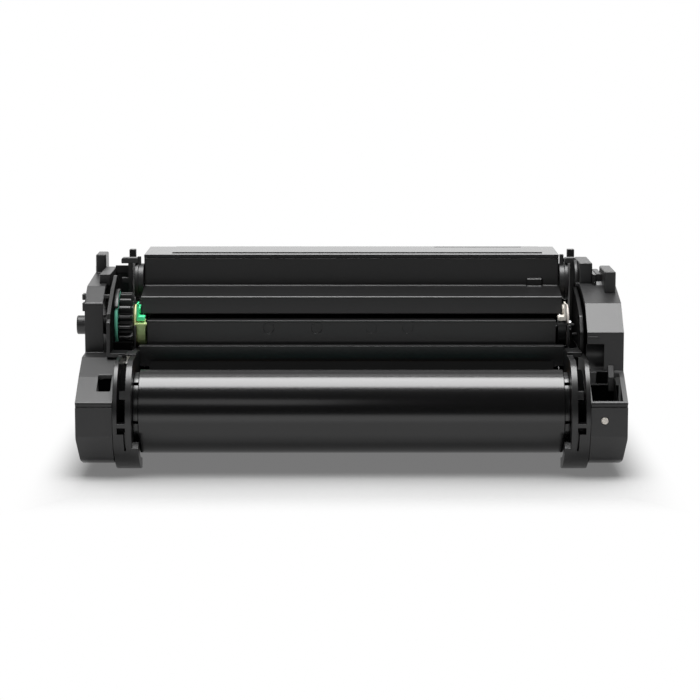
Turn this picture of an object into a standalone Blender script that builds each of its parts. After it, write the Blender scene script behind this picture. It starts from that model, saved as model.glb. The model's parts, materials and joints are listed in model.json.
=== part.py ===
"""Toner cartridge of a laser printer: drum unit in front, toner hopper behind, drive at the left end.

Metres, +Z up, +X to the right, +Y to the back. The origin is the middle of the hopper's flat underside.
An outline is a list of (y, z) points, or (y, z, radius) where a corner is rounded.
"""

import math

import bmesh
import bpy
from mathutils import Matrix, Vector

MM = 0.001

# Clearances
GAP = 0.3 * MM                      # between any two pieces that touch or run together
REACH = 4 * MM                      # how far a cutting tool runs past the face that it cuts

# Whole cartridge
DEPTH = 206 * MM
FRONT_Y = -150 * MM                 # foremost line of the round side walls
BACK_Y = FRONT_Y + DEPTH

# Drum unit: the drum's radius follows from its gear's distance to the developer roller's gear
MODULE = 1.9 * MM
DRUM_TEETH = 22
DEVELOPER_TEETH = 10
DEVELOPER_RADIUS = 10 * MM
DRUM_RADIUS = MODULE * (DRUM_TEETH + DEVELOPER_TEETH) / 2 - DEVELOPER_RADIUS - 0.4 * MM
DRUM_WALL = 1.5 * MM
AXLE_RADIUS = 3 * MM
NECK_RADIUS = 10 * MM
COVER_RADIUS = DRUM_RADIUS + 5.4 * MM
COVER_WALL = 1.8 * MM
COVER_LENGTH = 249 * MM
DRUM_LENGTH = COVER_LENGTH - 13 * MM
COVER_TOP_DEG = 80                  # upper edge of the closed drum cover, above straight ahead
COVER_BOTTOM_DEG = -96              # lower edge of the closed drum cover
END_RING = 2.8 * MM                 # width of the stepped ring at each end of the cover
END_RING_RADIUS = COVER_RADIUS - 1.2 * MM
DRUM_Z = 34.5 * MM
DRUM_Y = FRONT_Y + DRUM_Z
ARC_RADIUS = 34.5 * MM              # round front of the side walls, down to the base
RIM_INNER = COVER_RADIUS + (ARC_RADIUS - COVER_RADIUS) / 3
INNER_WALL = 3.4 * MM
SLOT_WIDTH = 4.9 * MM
OUTER_WALL = 2.4 * MM
INNER_X = COVER_LENGTH / 2 + END_RING + GAP
SLOT_X = INNER_X + INNER_WALL
OUTER_X = SLOT_X + SLOT_WIDTH
FRAME_X = OUTER_X + OUTER_WALL
LEDGE_Y = FRONT_Y + 64 * MM
LEDGE_Z = 68.5 * MM
LEDGE_DEPTH = 7.8 * MM
PANEL_THICK = 1.4 * MM
PANEL_HALF = INNER_X - 4.3 * MM     # the auger cover ends just inside the bushes
PANEL_Y = LEDGE_Y + LEDGE_DEPTH + GAP
PANEL_Z = 82.9 * MM
TROUGH_Z = 65.4 * MM                # floor of the waste toner trough
MARKS_X = (-50 * MM, -21 * MM, 12 * MM, 34 * MM)
MARK_RADIUS = 3.3 * MM
MARK_DEPTH = 0.4 * MM
WALL_TOP_Z = 66 * MM                # top of the side walls below the drive shaft
WALL_TOP_DEG = 66                   # where the round front of the side walls meets their flat top
SPLIT_Y = FRONT_Y + 53.7 * MM       # back edge of the drum unit's side walls, beside the drum
SHELF_Y = FRONT_Y + 41 * MM         # front edge of the shelves beside the side walls
SHELF_THICK = 2.2 * MM
SHELF_Z = 65 * MM

# Rollers round the drum
ROLLER_LENGTH = DRUM_LENGTH - 2 * MM
DEVELOPER_BELOW_DEG = 15            # how far the developer roller lies below the drum's centre line
ADDER_RADIUS = 7.7 * MM
ADDER_ABOVE_DEG = -25
CHARGE_RADIUS = 6 * MM
CHARGE_ABOVE_DEG = 22
JOURNAL_RADIUS = 3 * MM
BLADE_DEG = 45                      # where the wiper blade meets the drum, behind its top

# Gears
ADDER_TEETH = 9
IDLER_TEETH = 15
DRIVE_TEETH = 19
PADDLE_TEETH = 36
DRIVE_Y = FRONT_Y + 85 * MM
DRIVE_Z = 78.5 * MM
DRIVE_WIDTH = 8.5 * MM
FLANGE_WIDTH = 1.9 * MM
FLANGE_RADIUS = 20.8 * MM
HUB_RADIUS = 9 * MM                 # part of the coupler that runs in the left bearing plate
BUSH_RADIUS = 12.6 * MM
BUSH_WIDTH = 4.9 * MM
WASHER_WIDTH = 1.5 * MM
BUSH_INNER_X = INNER_X - 2.7 * MM
BUSH_RISE = 3 * MM                  # height of the bush's top above its axis; the clip sits on it
BUSH_OUTER_X = BUSH_INNER_X + BUSH_WIDTH
WASHER_X = BUSH_OUTER_X + GAP
DRIVE_INNER_X = WASHER_X + WASHER_WIDTH + GAP
DRIVE_OUTER_X = DRIVE_INNER_X + DRIVE_WIDTH
FLANGE_X = DRIVE_OUTER_X + GAP + FLANGE_WIDTH
COUPLER_HUB = 2.8 * MM
COUPLER_TIP = 7 * MM                # how far the coupler stands out of the left end cap

# Toner hopper
HOPPER_HALF = INNER_X
HOPPER_WALL = 2.5 * MM
LIP_HEIGHT = 10.7 * MM
STEP_RISE = 3.7 * MM
TALL_FACE = 16.9 * MM
LIP_BOTTOM_Z = PANEL_Z + 2.8 * MM
LIP_TOP_Z = LIP_BOTTOM_Z + LIP_HEIGHT
STEP_Z = LIP_TOP_Z + STEP_RISE
HOPPER_TOP = STEP_Z + TALL_FACE
LID_HEIGHT = 1.9 * MM
TALL_FACE_Y = FRONT_Y + 106 * MM
LIP_Y = FRONT_Y + 80 * MM
NECK_Y = FRONT_Y + 99.5 * MM
LID_BACK_Y = FRONT_Y + 154 * MM
BACK_TOP_Z = 78 * MM                # top of the hopper's upright back, where it slopes to the lid
LABEL_LEFT_X = 16.6 * MM - HOPPER_HALF      # bare raised field for a label on the lid
LABEL_RIGHT_X = HOPPER_HALF - 9.6 * MM
LATCH_X = HOPPER_HALF - 19.6 * MM
LATCH_WIDTH = 9.4 * MM
PADDLE_Y = FRONT_Y + 134 * MM
PADDLE_REACH = 23 * MM
PADDLE_GEAR_WIDTH = 3.2 * MM

# End caps
CAP_WIDTH = 21.7 * MM
CAP_WALL = 2.2 * MM
CAP_INNER_X = FRAME_X + GAP
CAP_HALF = FRAME_X + CAP_WIDTH
LEFT_TOWER_X = CAP_INNER_X + 10.4 * MM
RIGHT_TOWER_X = CAP_INNER_X
PLATE_THICK = 2.1 * MM              # side plates that stand up beside the towers
LEFT_PLATE_X = FLANGE_X + GAP
RIGHT_PLATE_X = CAP_INNER_X - GAP - PLATE_THICK
CAP_BOTTOM = 5.3 * MM
CAP_BACK_Y = FRONT_Y + 188 * MM
CAP_SHELF_Z = 56.6 * MM             # flat top of a cap's low part, behind the drum
CAP_TOP_Z = 64.7 * MM               # highest part of a cap's low part, beside the drum
CAP_EDGE_Z = 44.1 * MM              # front edge between the sloping and the upright face
TOWER_TOP_Z = 105.6 * MM
COUPLER_RADIUS = 5.75 * MM
PIN_X = CAP_HALF - 13.3 * MM
PIN_Z = 33.5 * MM
PIN_RADIUS = 2 * MM
PLUG_RADIUS = 11.5 * MM
PLUG_WIDTH = 5.4 * MM
PLUG_Y = FRONT_Y + 110 * MM
PLUG_Z = HOPPER_TOP - 14.5 * MM
BRACKET_THICK = 2.7 * MM
BRACKET_X = CAP_INNER_X - GAP - BRACKET_THICK - 0.8 * MM
STUD_RADIUS = 2.2 * MM

STEPS = 24                          # facets round a turned piece


def clear_scene():
    for old in list(bpy.data.objects):
        bpy.data.objects.remove(old, do_unlink=True)


def make_material(name, colour, roughness, metallic=0.0):
    material = bpy.data.materials.new(name)
    material.use_nodes = True
    shader = material.node_tree.nodes["Principled BSDF"]
    shader.inputs["Base Color"].default_value = (*colour, 1.0)
    shader.inputs["Roughness"].default_value = roughness
    shader.inputs["Metallic"].default_value = metallic
    return material


def make_object(mesh):
    """Put a mesh into the scene as a piece that may still be cut."""
    obj = bpy.data.objects.new("piece", mesh)
    bpy.context.scene.collection.objects.link(obj)
    return obj


def settle(obj):
    """Replace a piece's mesh by its shape with all modifiers carried out."""
    bpy.context.view_layer.update()
    graph = bpy.context.evaluated_depsgraph_get()
    mesh = bpy.data.meshes.new_from_object(obj.evaluated_get(graph))
    obj.modifiers.clear()
    obj.data = mesh
    return obj


def combine(body, tool, operation):
    """Join, cut or intersect two pieces; the second is used up."""
    boolean = body.modifiers.new(operation.lower(), "BOOLEAN")
    boolean.object = tool
    boolean.operation = operation
    boolean.solver = "EXACT"
    settle(body)
    bpy.data.objects.remove(tool, do_unlink=True)
    return body


def join(body, *others):
    for other in others:
        combine(body, other, "UNION")
    return body


def cut(body, *tools):
    for tool in tools:
        combine(body, tool, "DIFFERENCE")
    return body


def merge_flat_faces(obj):
    """Merge neighbouring faces that lie in one plane, and points in the middle of straight edges."""
    shape = bmesh.new()
    shape.from_mesh(obj.data)
    bmesh.ops.dissolve_limit(shape, angle_limit=math.radians(0.1), verts=shape.verts, edges=shape.edges)
    shape.to_mesh(obj.data)
    shape.free()


def name_piece(obj, name, material, smooth_deg=35):
    """Give a finished piece its name, its material and its place in the cartridge's collection."""
    merge_flat_faces(obj)
    obj.name = name
    obj.data.name = name
    obj.data.materials.clear()
    obj.data.materials.append(MATERIALS[material])
    obj.data.shade_smooth()
    obj.data.set_sharp_from_angle(angle=math.radians(smooth_deg))
    bpy.context.scene.collection.objects.unlink(obj)
    CARTRIDGE.objects.link(obj)
    return obj


def polar(centre, radius, degrees):
    """Point at an angle round a centre, from the front (-Y) and rising."""
    angle = math.radians(degrees)
    return (centre[0] - radius * math.cos(angle), centre[1] + radius * math.sin(angle))


def arc(centre, radius, start_deg, end_deg, steps):
    return [polar(centre, radius, start_deg + (end_deg - start_deg) * i / steps) for i in range(steps + 1)]


def rounded(corners, steps=3):
    """Outline with an arc at each corner that has a radius."""
    outline = []
    for index, corner in enumerate(corners):
        here = Vector(corner[:2])
        if len(corner) == 2:
            outline.append(tuple(here))
            continue
        before = (Vector(corners[index - 1][:2]) - here).normalized()
        after = (Vector(corners[(index + 1) % len(corners)][:2]) - here).normalized()
        half = before.angle(after) / 2
        radius = corner[2]
        centre = here + (before + after).normalized() * radius / math.sin(half)
        start = here + before * radius / math.tan(half) - centre
        turn = math.pi - 2 * half
        if before.cross(after) > 0:
            turn = -turn
        for step in range(steps + 1):
            angle = turn * step / steps
            spoke = Vector((start.x * math.cos(angle) - start.y * math.sin(angle),
                            start.x * math.sin(angle) + start.y * math.cos(angle)))
            outline.append(tuple(centre + spoke))
    return outline


def inset(corners, wall):
    """Corners moved inward by a wall, with their radii; they run anticlockwise in (y, z)."""
    moved = []
    for index, corner in enumerate(corners):
        here = Vector(corner[:2])
        into = (here - Vector(corners[index - 1][:2])).normalized()
        away = (Vector(corners[(index + 1) % len(corners)][:2]) - here).normalized()
        normal_in = Vector((-into.y, into.x))
        normal_out = Vector((-away.y, away.x))
        mitre = (normal_in + normal_out).normalized()
        spot = tuple(here + mitre * wall / mitre.dot(normal_in))
        if len(corner) == 3 and corner[2] > wall + GAP:
            spot += (corner[2] - wall,)
        moved.append(spot)
    return moved


def slab(outline, x_low, x_high, holes=(), centre=(0.0, 0.0)):
    """Solid between two X planes; outline and holes are given from the centre (y, z)."""
    curve = bpy.data.curves.new("outline", "CURVE")
    curve.dimensions = "2D"
    curve.fill_mode = "BOTH"
    curve.extrude = (x_high - x_low) / 2
    for loop in (outline, *holes):
        spline = curve.splines.new("POLY")
        spline.points.add(len(loop) - 1)
        for point, (y, z) in zip(spline.points, loop):
            point.co = (y, z, 0, 1)
        spline.use_cyclic_u = True
    guide = make_object(curve)
    guide.matrix_world = Matrix(((0, 0, 1, (x_low + x_high) / 2), (1, 0, 0, centre[0]),
                                 (0, 1, 0, centre[1]), (0, 0, 0, 1)))
    bpy.context.view_layer.update()
    graph = bpy.context.evaluated_depsgraph_get()
    mesh = bpy.data.meshes.new_from_object(guide.evaluated_get(graph))
    welded = bmesh.new()
    welded.from_mesh(mesh)
    bmesh.ops.remove_doubles(welded, verts=welded.verts, dist=1e-7)
    bmesh.ops.recalc_face_normals(welded, faces=welded.faces)
    welded.to_mesh(mesh)
    welded.free()
    solid = make_object(mesh)
    solid.matrix_world = guide.matrix_world
    bpy.data.objects.remove(guide, do_unlink=True)
    return solid


def box(x_range, y_range, z_range):
    mesh = bpy.data.meshes.new("box")
    shape = bmesh.new()
    bmesh.ops.create_cube(shape, size=1.0)
    bmesh.ops.scale(shape, verts=shape.verts, vec=[high - low for low, high in (x_range, y_range, z_range)])
    shape.to_mesh(mesh)
    shape.free()
    solid = make_object(mesh)
    solid.location = [(low + high) / 2 for low, high in (x_range, y_range, z_range)]
    bpy.context.view_layer.update()
    return solid


def turned(profile, centre, closed=False, steps=STEPS):
    """Solid of revolution about the X line through (y, z); the profile's (x, radius) points run from
    the +X end to the -X end along the outside, and back along the bore where the profile is closed."""
    mesh = bpy.data.meshes.new("turned")
    points = [(radius, 0, x) for x, radius in profile]
    edges = [(i, i + 1) for i in range(len(points) - 1)]
    if closed:
        edges.append((len(points) - 1, 0))
    mesh.from_pydata(points, edges, [])
    solid = make_object(mesh)
    screw = solid.modifiers.new("turn", "SCREW")
    screw.axis = "Z"
    screw.angle = math.tau
    screw.steps = steps
    screw.render_steps = steps
    screw.use_merge_vertices = True
    screw.merge_threshold = 1e-5
    solid.rotation_euler = (0, math.pi / 2, 0)
    solid.location = (0, *centre)
    return settle(solid)


def rod(x_low, x_high, radius, centre, steps=STEPS):
    return turned([(x_high, 0), (x_high, radius), (x_low, radius), (x_low, 0)], centre, steps=steps)


def ring(x_low, x_high, radius, bore, centre, steps=STEPS):
    return turned([(x_high, radius), (x_low, radius), (x_low, bore), (x_high, bore)], centre, True, steps)


def tooth_circle(teeth):
    return MODULE * teeth / 2


def gear_outline(teeth, phase):
    """Teeth with straight flanks on a pitch circle; the first tooth points along the phase angle."""
    pitch = tooth_circle(teeth)
    tip = pitch + 0.84 * MODULE
    root = tip - 2.04 * MODULE
    step = math.tau / teeth
    half_flank = ((root, 0.30), (tip, 0.12))
    outline = []
    for tooth in range(teeth):
        middle = phase + tooth * step
        for radius, share in half_flank:
            outline.append((radius, middle - share * step))
        for radius, share in reversed(half_flank):
            outline.append((radius, middle + share * step))
    return [(radius * math.cos(angle), radius * math.sin(angle)) for radius, angle in outline]


def meshed_phase(centre, teeth, phase, other, other_teeth):
    """Phase at which another gear's gap faces this gear's tooth on the line between their centres."""
    line = math.atan2(other[1] - centre[1], other[0] - centre[0])
    turn = (line - phase) * teeth / math.tau
    return line + math.pi - math.tau / other_teeth * (0.5 - turn)


def circle(radius, steps=16, centre=(0.0, 0.0)):
    return arc(centre, radius, 0, 360 * (steps - 1) / steps, steps - 1)


def gear(teeth, phase, x_low, x_high, bore, centre):
    return slab(gear_outline(teeth, phase), x_low, x_high, [circle(bore)], centre)


def pin_along_y(x, z, y_low, y_high, radius):
    mesh = bpy.data.meshes.new("pin")
    shape = bmesh.new()
    bmesh.ops.create_cone(shape, cap_ends=True, segments=16, radius1=radius, radius2=radius,
                          depth=y_high - y_low)
    shape.to_mesh(mesh)
    shape.free()
    pin = make_object(mesh)
    pin.location = (x, (y_low + y_high) / 2, z)
    pin.rotation_euler = (math.pi / 2, 0, 0)
    bpy.context.view_layer.update()
    return pin


def lofted(rings):
    """Closed skin through rings of equal point counts."""
    mesh = bpy.data.meshes.new("loft")
    skin = bmesh.new()
    rows = [[skin.verts.new(point) for point in row] for row in rings]
    count = len(rows[0])
    for near, far in zip(rows, rows[1:]):
        for i in range(count):
            skin.faces.new((near[i], near[(i + 1) % count], far[(i + 1) % count], far[i]))
    skin.faces.new(list(reversed(rows[0])))
    skin.faces.new(rows[-1])
    bmesh.ops.recalc_face_normals(skin, faces=skin.faces)
    skin.to_mesh(mesh)
    skin.free()
    return make_object(mesh)


# Axes worked out from the sizes above
DRUM = (DRUM_Y, DRUM_Z)


def behind_drum(distance, above_deg):
    angle = math.radians(above_deg)
    return (DRUM_Y + distance * math.cos(angle), DRUM_Z + distance * math.sin(angle))


DEVELOPER = behind_drum(MODULE * (DRUM_TEETH + DEVELOPER_TEETH) / 2, -DEVELOPER_BELOW_DEG)
CHARGE = behind_drum(DRUM_RADIUS + CHARGE_RADIUS + GAP, CHARGE_ABOVE_DEG)
ADDER_DISTANCE = MODULE * (DEVELOPER_TEETH + ADDER_TEETH) / 2
ADDER = (DEVELOPER[0] + ADDER_DISTANCE * math.cos(math.radians(ADDER_ABOVE_DEG)),
         DEVELOPER[1] + ADDER_DISTANCE * math.sin(math.radians(ADDER_ABOVE_DEG)))
DRIVE = (DRIVE_Y, DRIVE_Z)
PADDLE_DISTANCE = MODULE * (DRIVE_TEETH + PADDLE_TEETH) / 2
PADDLE = (PADDLE_Y, DRIVE_Z - math.sqrt(PADDLE_DISTANCE ** 2 - (PADDLE_Y - DRIVE_Y) ** 2))


def third_corner(first, first_distance, second, second_distance):
    """Point at given distances from two points, on the side nearer the front."""
    line = Vector(second) - Vector(first)
    along = (line.length ** 2 + first_distance ** 2 - second_distance ** 2) / (2 * line.length)
    off = math.sqrt(max(first_distance ** 2 - along ** 2, 0))
    direction = line.normalized()
    spot = Vector(first) + direction * along + Vector((direction.y, -direction.x)) * off
    return (spot.x, spot.y)


IDLER = third_corner(DRIVE, MODULE * (DRIVE_TEETH + IDLER_TEETH) / 2,
                     DEVELOPER, MODULE * (DEVELOPER_TEETH + IDLER_TEETH) / 2)


def front(y_mm):
    """Y at a depth in millimetres behind the foremost line."""
    return FRONT_Y + y_mm * MM


def across(near, far, side):
    """X range between two distances from the middle, on one side."""
    return sorted((side * near, side * far))


# Drum unit

def wall_front():
    """Round front of the side walls, with a point on the foremost line."""
    return arc(DRUM, ARC_RADIUS, -90, 0, 8)[:-1] + arc(DRUM, ARC_RADIUS, 0, WALL_TOP_DEG, 6)


def drum_side_outline():
    """Side wall of the drum unit: round in front, flat on top and stepped up under the hopper's lip."""
    return wall_front() + [
        (SHELF_Y, WALL_TOP_Z),
        (NECK_Y - 1.5 * MM, WALL_TOP_Z),
        (NECK_Y - 1.5 * MM, PANEL_Z),
        (NECK_Y - 0.5 * MM, PANEL_Z),
        (NECK_Y - 0.5 * MM, 52.5 * MM),
        (front(91.7), 45.1 * MM),
        (front(69), 41.4 * MM),
        (SPLIT_Y, 37.8 * MM),
        (SPLIT_Y, 4 * MM),
        (front(48), 1 * MM)]


def rim_piece(start_deg, end_deg, outer, inner, x_range, side, steps=6):
    """Piece of the round rim between two radii and two X planes."""
    outline = arc(DRUM, outer, start_deg, end_deg, steps)
    outline += arc(DRUM, inner, end_deg, start_deg, steps)
    low, high = sorted(side * x for x in x_range)
    return slab(outline, low, high)


def make_drum_frame():
    outline = drum_side_outline()
    frame = None
    shaft_holes = [circle(NECK_RADIUS + GAP, 20, DRUM), circle(JOURNAL_RADIUS + GAP, 12, CHARGE)]
    overlap = 0.5 * MM
    slot = (SLOT_X - overlap, OUTER_X + overlap)
    for side in (-1, 1):
        low, high = sorted((side * INNER_X, side * SLOT_X))
        inner = slab(outline, low, high, shaft_holes)
        frame = inner if frame is None else join(frame, inner)
        low, high = sorted((side * OUTER_X, side * FRAME_X))
        outer_outline = wall_front() + [
            (SHELF_Y, WALL_TOP_Z), (LEDGE_Y - 6 * MM, WALL_TOP_Z), (LEDGE_Y - 6 * MM, 56 * MM),
            (SPLIT_Y, 46 * MM), (SPLIT_Y, 4 * MM), (front(48), 1 * MM)]
        outer = slab(outer_outline, low, high, [circle(AXLE_RADIUS + GAP, 12, DRUM)])
        foot = rim_piece(-125, -14.8, ARC_RADIUS, COVER_RADIUS + GAP, slot, side, 9)
        bar = rim_piece(-8.5, -4.5, ARC_RADIUS - 0.3 * MM, RIM_INNER, slot, side, 2)
        stop_ends = (SLOT_X - overlap, OUTER_X - 1.3 * MM)
        stop = rim_piece(20, 29, ARC_RADIUS - 1.6 * MM, RIM_INNER - 0.5 * MM, stop_ends, side, 2)
        lug_ends = (COVER_LENGTH / 2 - 0.6 * MM, INNER_X + overlap)
        lug = rim_piece(-88, -31, ARC_RADIUS, RIM_INNER, lug_ends, side, 5)
        join(frame, foot, bar, stop, lug, outer)
        slit = rim_piece(-35, -14, ARC_RADIUS + REACH, ARC_RADIUS - 3 * MM, (SLOT_X, SLOT_X + 1.1 * MM), side, 4)
        cut(frame, slit)
    shelf_top = SHELF_Z + SHELF_THICK
    left_shelf = box((-LEFT_PLATE_X - PLATE_THICK, -OUTER_X + 2 * MM), (SHELF_Y, LEDGE_Y - 6 * MM),
                     (SHELF_Z, shelf_top))
    right_shelf = box((SLOT_X - INNER_WALL, OUTER_X + overlap), (SHELF_Y, LEDGE_Y - 6 * MM),
                      (SHELF_Z, shelf_top + 0.8 * MM))
    join(frame, left_shelf, right_shelf)
    left_plate = [
        (SHELF_Y, SHELF_Z), (front(104), SHELF_Z), (front(104), 104 * MM, 4 * MM),
        (front(91), 108.3 * MM, 3 * MM), (front(72), 102.6 * MM), (front(58), 97 * MM),
        (front(44), 90.5 * MM), (front(44), 87 * MM),
        (SHELF_Y, 85.5 * MM)]
    right_plate = [
        (front(50), 61 * MM), (LEDGE_Y - 6.5 * MM, 61 * MM), (LEDGE_Y - 6.5 * MM, 67.5 * MM),
        (front(104), 67.5 * MM), (front(104), 100.6 * MM, 3 * MM), (front(75), 94.9 * MM),
        (front(57), 87.6 * MM, 3 * MM), (front(50), 78 * MM, 3 * MM)]
    bearing = [circle(HUB_RADIUS + GAP, 20, DRIVE)]
    join(frame, slab(rounded(left_plate, 3), -LEFT_PLATE_X - PLATE_THICK, -LEFT_PLATE_X, bearing),
         slab(rounded(right_plate, 3), RIGHT_PLATE_X, RIGHT_PLATE_X + PLATE_THICK))
    for side in (-1, 1):
        upright = sorted((side * (WASHER_X - 0.1 * MM), side * (DRIVE_INNER_X - 0.5 * MM)))
        join(frame, box(upright, (front(69), front(71.5)),
                        (WALL_TOP_Z - 0.5 * MM, DRIVE_Z + BUSH_RISE - 1.5 * MM)))
    wall = 2 * MM
    back = NECK_Y - 0.8 * MM
    channel = [
        (LEDGE_Y, 56 * MM), (LEDGE_Y + wall, 56 * MM), (LEDGE_Y + wall, TROUGH_Z - wall),
        (back, TROUGH_Z - wall), (back, PANEL_Z - 1.8 * MM), (back - wall, PANEL_Z - 1.8 * MM),
        (back - wall, TROUGH_Z), (LEDGE_Y + LEDGE_DEPTH, TROUGH_Z), (LEDGE_Y + LEDGE_DEPTH, LEDGE_Z),
        (LEDGE_Y, LEDGE_Z)]
    join(frame, slab(channel, -INNER_X - overlap, INNER_X + overlap))
    for side in (-1, 1):
        low, high = sorted((side * (BUSH_INNER_X - GAP), side * (SLOT_X + REACH / 8)))
        cut(frame, rod(low, high, BUSH_RADIUS + GAP, DRIVE))
    name_piece(frame, "drum_frame", "black_plastic")


def make_auger_cover():
    """Upright panel in front of the waste toner auger, with a top flange and four shallow round marks."""
    nose_y = PANEL_Y - 0.9 * MM
    edge = 0.3 * MM
    flange_low = PANEL_Z - 1 * MM
    panel = box((-PANEL_HALF, PANEL_HALF), (PANEL_Y, PANEL_Y + PANEL_THICK),
                (TROUGH_Z + GAP, PANEL_Z - edge))
    flange = slab([
        (nose_y, flange_low + edge), (nose_y + edge, flange_low), (NECK_Y - 0.8 * MM, flange_low),
        (NECK_Y - 0.8 * MM, PANEL_Z), (nose_y + edge, PANEL_Z), (nose_y, PANEL_Z - edge)],
        -PANEL_HALF, PANEL_HALF)
    join(panel, flange)
    for mark_x in MARKS_X:
        mark_z = PANEL_Z - 4.7 * MM
        cut(panel, pin_along_y(mark_x, mark_z, PANEL_Y - REACH, PANEL_Y + MARK_DEPTH, MARK_RADIUS))
    name_piece(panel, "auger_cover", "black_plastic")


def make_drum():
    half = DRUM_LENGTH / 2
    bore = DRUM_RADIUS - DRUM_WALL
    name_piece(ring(-half, half, DRUM_RADIUS, bore, DRUM), "drum_tube", "photoconductor")
    flange = 4 * MM
    plug = 12 * MM
    gear_face = SLOT_X + GAP
    gear_end = OUTER_X - GAP
    for side, name in ((-1, "drum_gear"), (1, "drum_hub")):
        profile = [
            (gear_end, AXLE_RADIUS + GAP), (gear_end, NECK_RADIUS), (half + GAP + flange, NECK_RADIUS),
            (half + GAP + flange, DRUM_RADIUS), (half + GAP, DRUM_RADIUS), (half + GAP, bore - GAP),
            (half - plug, bore - GAP), (half - plug, AXLE_RADIUS + GAP)]
        if side < 0:
            profile = [(-x, radius) for x, radius in reversed(profile)]
        hub = turned(profile, DRUM, closed=True, steps=20)
        if side < 0:
            join(hub, gear(DRUM_TEETH, PHASES["drum"], -gear_end, -gear_face, AXLE_RADIUS + 2 * MM, DRUM))
        name_piece(hub, name, "dark_grey_plastic")
    name_piece(rod(-FRAME_X, FRAME_X, AXLE_RADIUS, DRUM, 16), "drum_axle", "steel")


def make_drum_cover():
    """Curved shutter that closes the drum from the front and swings up out of the way."""
    inner = COVER_RADIUS - COVER_WALL
    outline = arc((0, 0), COVER_RADIUS, COVER_BOTTOM_DEG, COVER_TOP_DEG, 24)
    outline += arc((0, 0), inner, COVER_TOP_DEG, COVER_BOTTOM_DEG, 24)
    half = COVER_LENGTH / 2
    cover = slab(outline, -half, half, centre=DRUM)
    arm = circle(NECK_RADIUS + GAP, 20)
    notch_floor = END_RING_RADIUS - 1.6 * MM
    for side in (-1, 1):
        low, high = sorted((side * (half - 1.2 * MM), side * (half + END_RING)))
        fan = arc((0, 0), END_RING_RADIUS, COVER_BOTTOM_DEG + 4, -60, 6)[:-1]
        fan += arc((0, 0), END_RING_RADIUS, -60, -6, 8)
        fan += arc((0, 0), notch_floor, -6, -3, 1)
        fan += arc((0, 0), END_RING_RADIUS, -3, 34, 6)
        fan += arc((0, 0), notch_floor, 34, 39, 1)
        fan += arc((0, 0), END_RING_RADIUS, 39, COVER_TOP_DEG - 4, 6)
        fan += arc((0, 0), NECK_RADIUS + 3 * MM, 120, 240, 8)
        join(cover, slab(fan, low, high, [arm], centre=DRUM))
    name_piece(cover, "drum_cover", "satin_black")


def make_charge_roller():
    half = ROLLER_LENGTH / 2
    end = SLOT_X
    name_piece(rod(-end, end, JOURNAL_RADIUS, CHARGE, 16), "charge_shaft", "steel")
    name_piece(ring(-half, half, CHARGE_RADIUS, JOURNAL_RADIUS + GAP, CHARGE, 20),
               "charge_sleeve", "dark_rubber")


def make_blades():
    """Wiper blade on its steel bracket, leaning on the drum just behind its top."""
    contact = Vector(behind_drum(DRUM_RADIUS + GAP, BLADE_DEG))
    heel = Vector((LEDGE_Y - 1.2 * MM, 58 * MM))
    along = (heel - contact).normalized()
    across = Vector((-along.y, along.x))
    half = ROLLER_LENGTH / 2

    def strip(start, end, low, high):
        return [tuple(contact + along * start + across * low), tuple(contact + along * end + across * low),
                tuple(contact + along * end + across * high), tuple(contact + along * start + across * high)]

    length = (heel - contact).length
    name_piece(slab(strip(0.3 * MM, length - 2 * MM, 0, 1.4 * MM), -half, half), "wiper_blade", "amber_rubber")
    bracket = strip(7 * MM, length - 1.4 * MM, 1.7 * MM, 3.0 * MM)
    name_piece(slab(bracket, -half - 4 * MM, half + 4 * MM), "wiper_bracket", "coated_steel")


# Toner hopper

def hopper_corners():
    return [
        (front(54), 12 * MM, 1 * MM), (front(61), 6.5 * MM, 3 * MM), (front(78), 2.5 * MM, 8 * MM),
        (front(104), 0, 10 * MM), (BACK_Y, 0, 12 * MM), (BACK_Y, BACK_TOP_Z, 14 * MM),
        (LID_BACK_Y, HOPPER_TOP), (TALL_FACE_Y, HOPPER_TOP), (TALL_FACE_Y, STEP_Z), (LIP_Y, LIP_TOP_Z, 1.2 * MM),
        (LIP_Y, LIP_BOTTOM_Z), (NECK_Y, LIP_BOTTOM_Z), (NECK_Y, 52 * MM),
        (front(92), 44.4 * MM), (front(69), 40.7 * MM), (front(54), 37 * MM)]


def make_hopper():
    corners = hopper_corners()
    hopper = slab(rounded(corners), -HOPPER_HALF, HOPPER_HALF)
    inside = HOPPER_HALF - HOPPER_WALL
    cut(hopper, slab(rounded(inset(corners, HOPPER_WALL)), -inside, inside))
    cut(hopper, box((-inside, inside), (TALL_FACE_Y + HOPPER_WALL, LID_BACK_Y - HOPPER_WALL - GAP),
                    (HOPPER_TOP - 2 * HOPPER_WALL, HOPPER_TOP + REACH)))
    mouth = [(front(50), 14.6 * MM), (front(63), 14.6 * MM), (front(67.5), 30 * MM), (front(67.5), 45 * MM),
             (front(50), 45 * MM)]
    cut(hopper, slab(mouth, -inside, inside))
    latch = box((LATCH_X, LATCH_X + LATCH_WIDTH), (TALL_FACE_Y - 1.6 * MM, TALL_FACE_Y + 1 * MM),
                (STEP_Z - 2.1 * MM, STEP_Z + 4.2 * MM))
    join(hopper, latch)
    for centre in (DEVELOPER, ADDER, PADDLE):
        for side in (-1, 1):
            low, high = sorted((side * (inside - REACH), side * (HOPPER_HALF + REACH)))
            cut(hopper, rod(low, high, JOURNAL_RADIUS + GAP, centre, 16))
    name_piece(hopper, "hopper_body", "black_plastic")


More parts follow.
